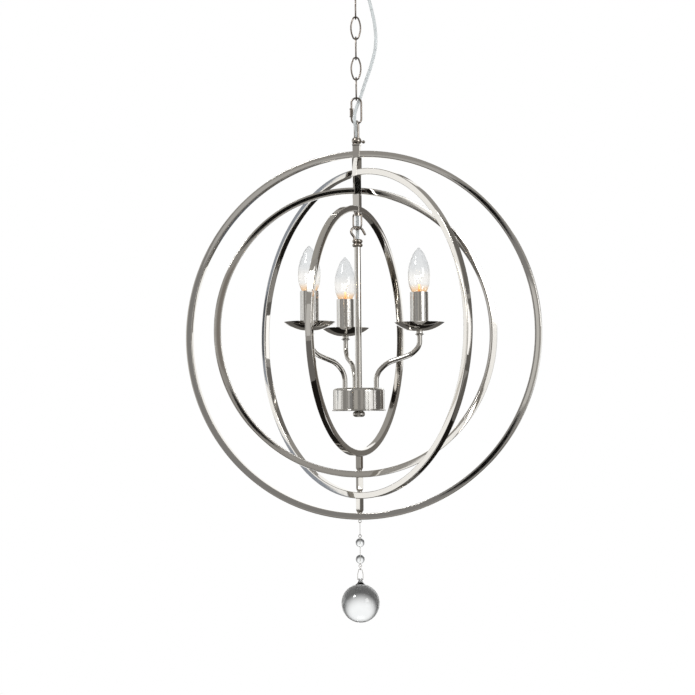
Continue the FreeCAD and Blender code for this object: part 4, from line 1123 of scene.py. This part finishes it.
# %% [markdown]
# Two great shells close the room. The grey one is what the metal sees between the cards. The
# other is what solid glass sees: a lit backdrop, white behind the lamp and falling off to
# grey, so that the ball gets its dark rim and its bright lower middle. Light that has gone
# through both thin walls of a lamp is not bent, and simply meets white paper.

# %% Grey room and lit backdrop
ROOM = 80.0
LIFT = math.radians(20)


def shell(name, paint):
    """A great sphere round the lamp, seen from inside."""
    bm = bmesh.new()
    bmesh.ops.create_uvsphere(bm, u_segments=48, v_segments=24, radius=ROOM)
    bmesh.ops.reverse_faces(bm, faces=bm.faces[:])
    room = object_from(name, bm)
    room.data.materials.append(paint)
    only_in_reflections(room)
    return room


shell("grey_room", card_paint("grey_room", "#8A8885")).visible_transmission = False
# Lit paper seen through glass: white behind the lamp, pale grey beside it, dull grey elsewhere.
lit_paper, tree = bare_material("backdrop_lit")
place = node(tree, "TexCoord")
way = node(tree, "VectorMath", {0: (place, "Object")}, operation="NORMALIZE")
way = node(tree, "VectorMath", {0: (way, "Vector")}, operation="ABSOLUTE")
rise = node(tree, "SeparateXYZ", {"Vector": (place, "Object")})
above = node(tree, "Math", {0: (rise, "Z")}, operation="DIVIDE")
above.inputs[1].default_value = ROOM


def patch(axis, full, end, strength):
    """A bright patch round a level axis, lifted 20 degrees, that fades out between two angles."""
    toward = node(tree, "VectorMath", {0: (way, "Vector")}, operation="DOT_PRODUCT")
    toward.inputs[1].default_value = [part * math.cos(LIFT) for part in axis]
    lifted = node(tree, "Math", {0: (above, 0), 2: (toward, "Value")},
                  operation="MULTIPLY_ADD")
    lifted.inputs[1].default_value = math.sin(LIFT)
    return node(tree, "MapRange", {"Value": (lifted, 0)},
                From_Min=math.cos(math.radians(end)), From_Max=math.cos(math.radians(full)),
                To_Min=0.09, To_Max=strength, interpolation_type="SMOOTHSTEP")


behind = patch((0, 1, 0), 16, 52, 1.0)
beside = patch((1, 0, 0), 14, 34, 0.6)
path = node(tree, "LightPath")
thin = node(tree, "Math", {0: (path, "Transmission Depth")}, operation="GREATER_THAN")
thin.inputs[1].default_value = 3.5
fall = largest(tree, (behind, "Result"), (beside, "Result"), (thin, 0))
glow = node(tree, "Emission", {"Strength": fall}, Color=linear("#FFFFFF"))
node(tree, "OutputMaterial", {"Surface": (glow, "Emission")})
shell("lit_backdrop", lit_paper).visible_glossy = False
print("shells of radius", ROOM, "m")

# %% [markdown]
# A sheet of white paper lies far below, and two soft lamps stand at the camera's left and
# right. The nickel takes most of its light from the cards, so the lamps only lift the dull
# parts and put small highlights on the sleeves and the can.

# %% Floor and lamps
# White paper: it is seen as plain white, and gives back the lamps' light like any paper.
paint, tree = bare_material("floor_white_paper")
paper = node(tree, "BsdfDiffuse", Color=linear("#F2F2F0"))
white = node(tree, "Emission", Strength=1.0, Color=linear("#FFFFFF"))
both = node(tree, "MixShader",
            {0: seen_directly(tree), 1: (paper, "BSDF"), 2: (white, "Emission")})
node(tree, "OutputMaterial", {"Surface": (both, "Shader")})
floor = bmesh.new()
bmesh.ops.create_grid(floor, x_segments=1, y_segments=1, size=6.0)
ground = object_from("floor", floor)
ground.location = (0, 0, -3.0)
ground.data.materials.append(paint)
ground.visible_glossy = False
ground.visible_transmission = False


def soft_lamp(name, place, size, watts):
    """A square area lamp of this size in metres, aimed at the middle of the hoops."""
    data = bpy.data.lights.new(name, "AREA")
    data.energy = watts
    data.size = size
    lamp = bpy.data.objects.new(name, data)
    lamp.location = place
    lamp.rotation_euler = (MIDDLE - Vector(place)).to_track_quat("-Z", "Y").to_euler()
    bpy.context.scene.collection.objects.link(lamp)


soft_lamp("softbox_left", (-2.2, -1.9, 1.75), 0.9, 34)
soft_lamp("softbox_right", (2.2, -2.4, 0.2), 1.2, 18)
print("pieces made", len(made))

# %% Final update of the scene
bpy.context.view_layer.update()
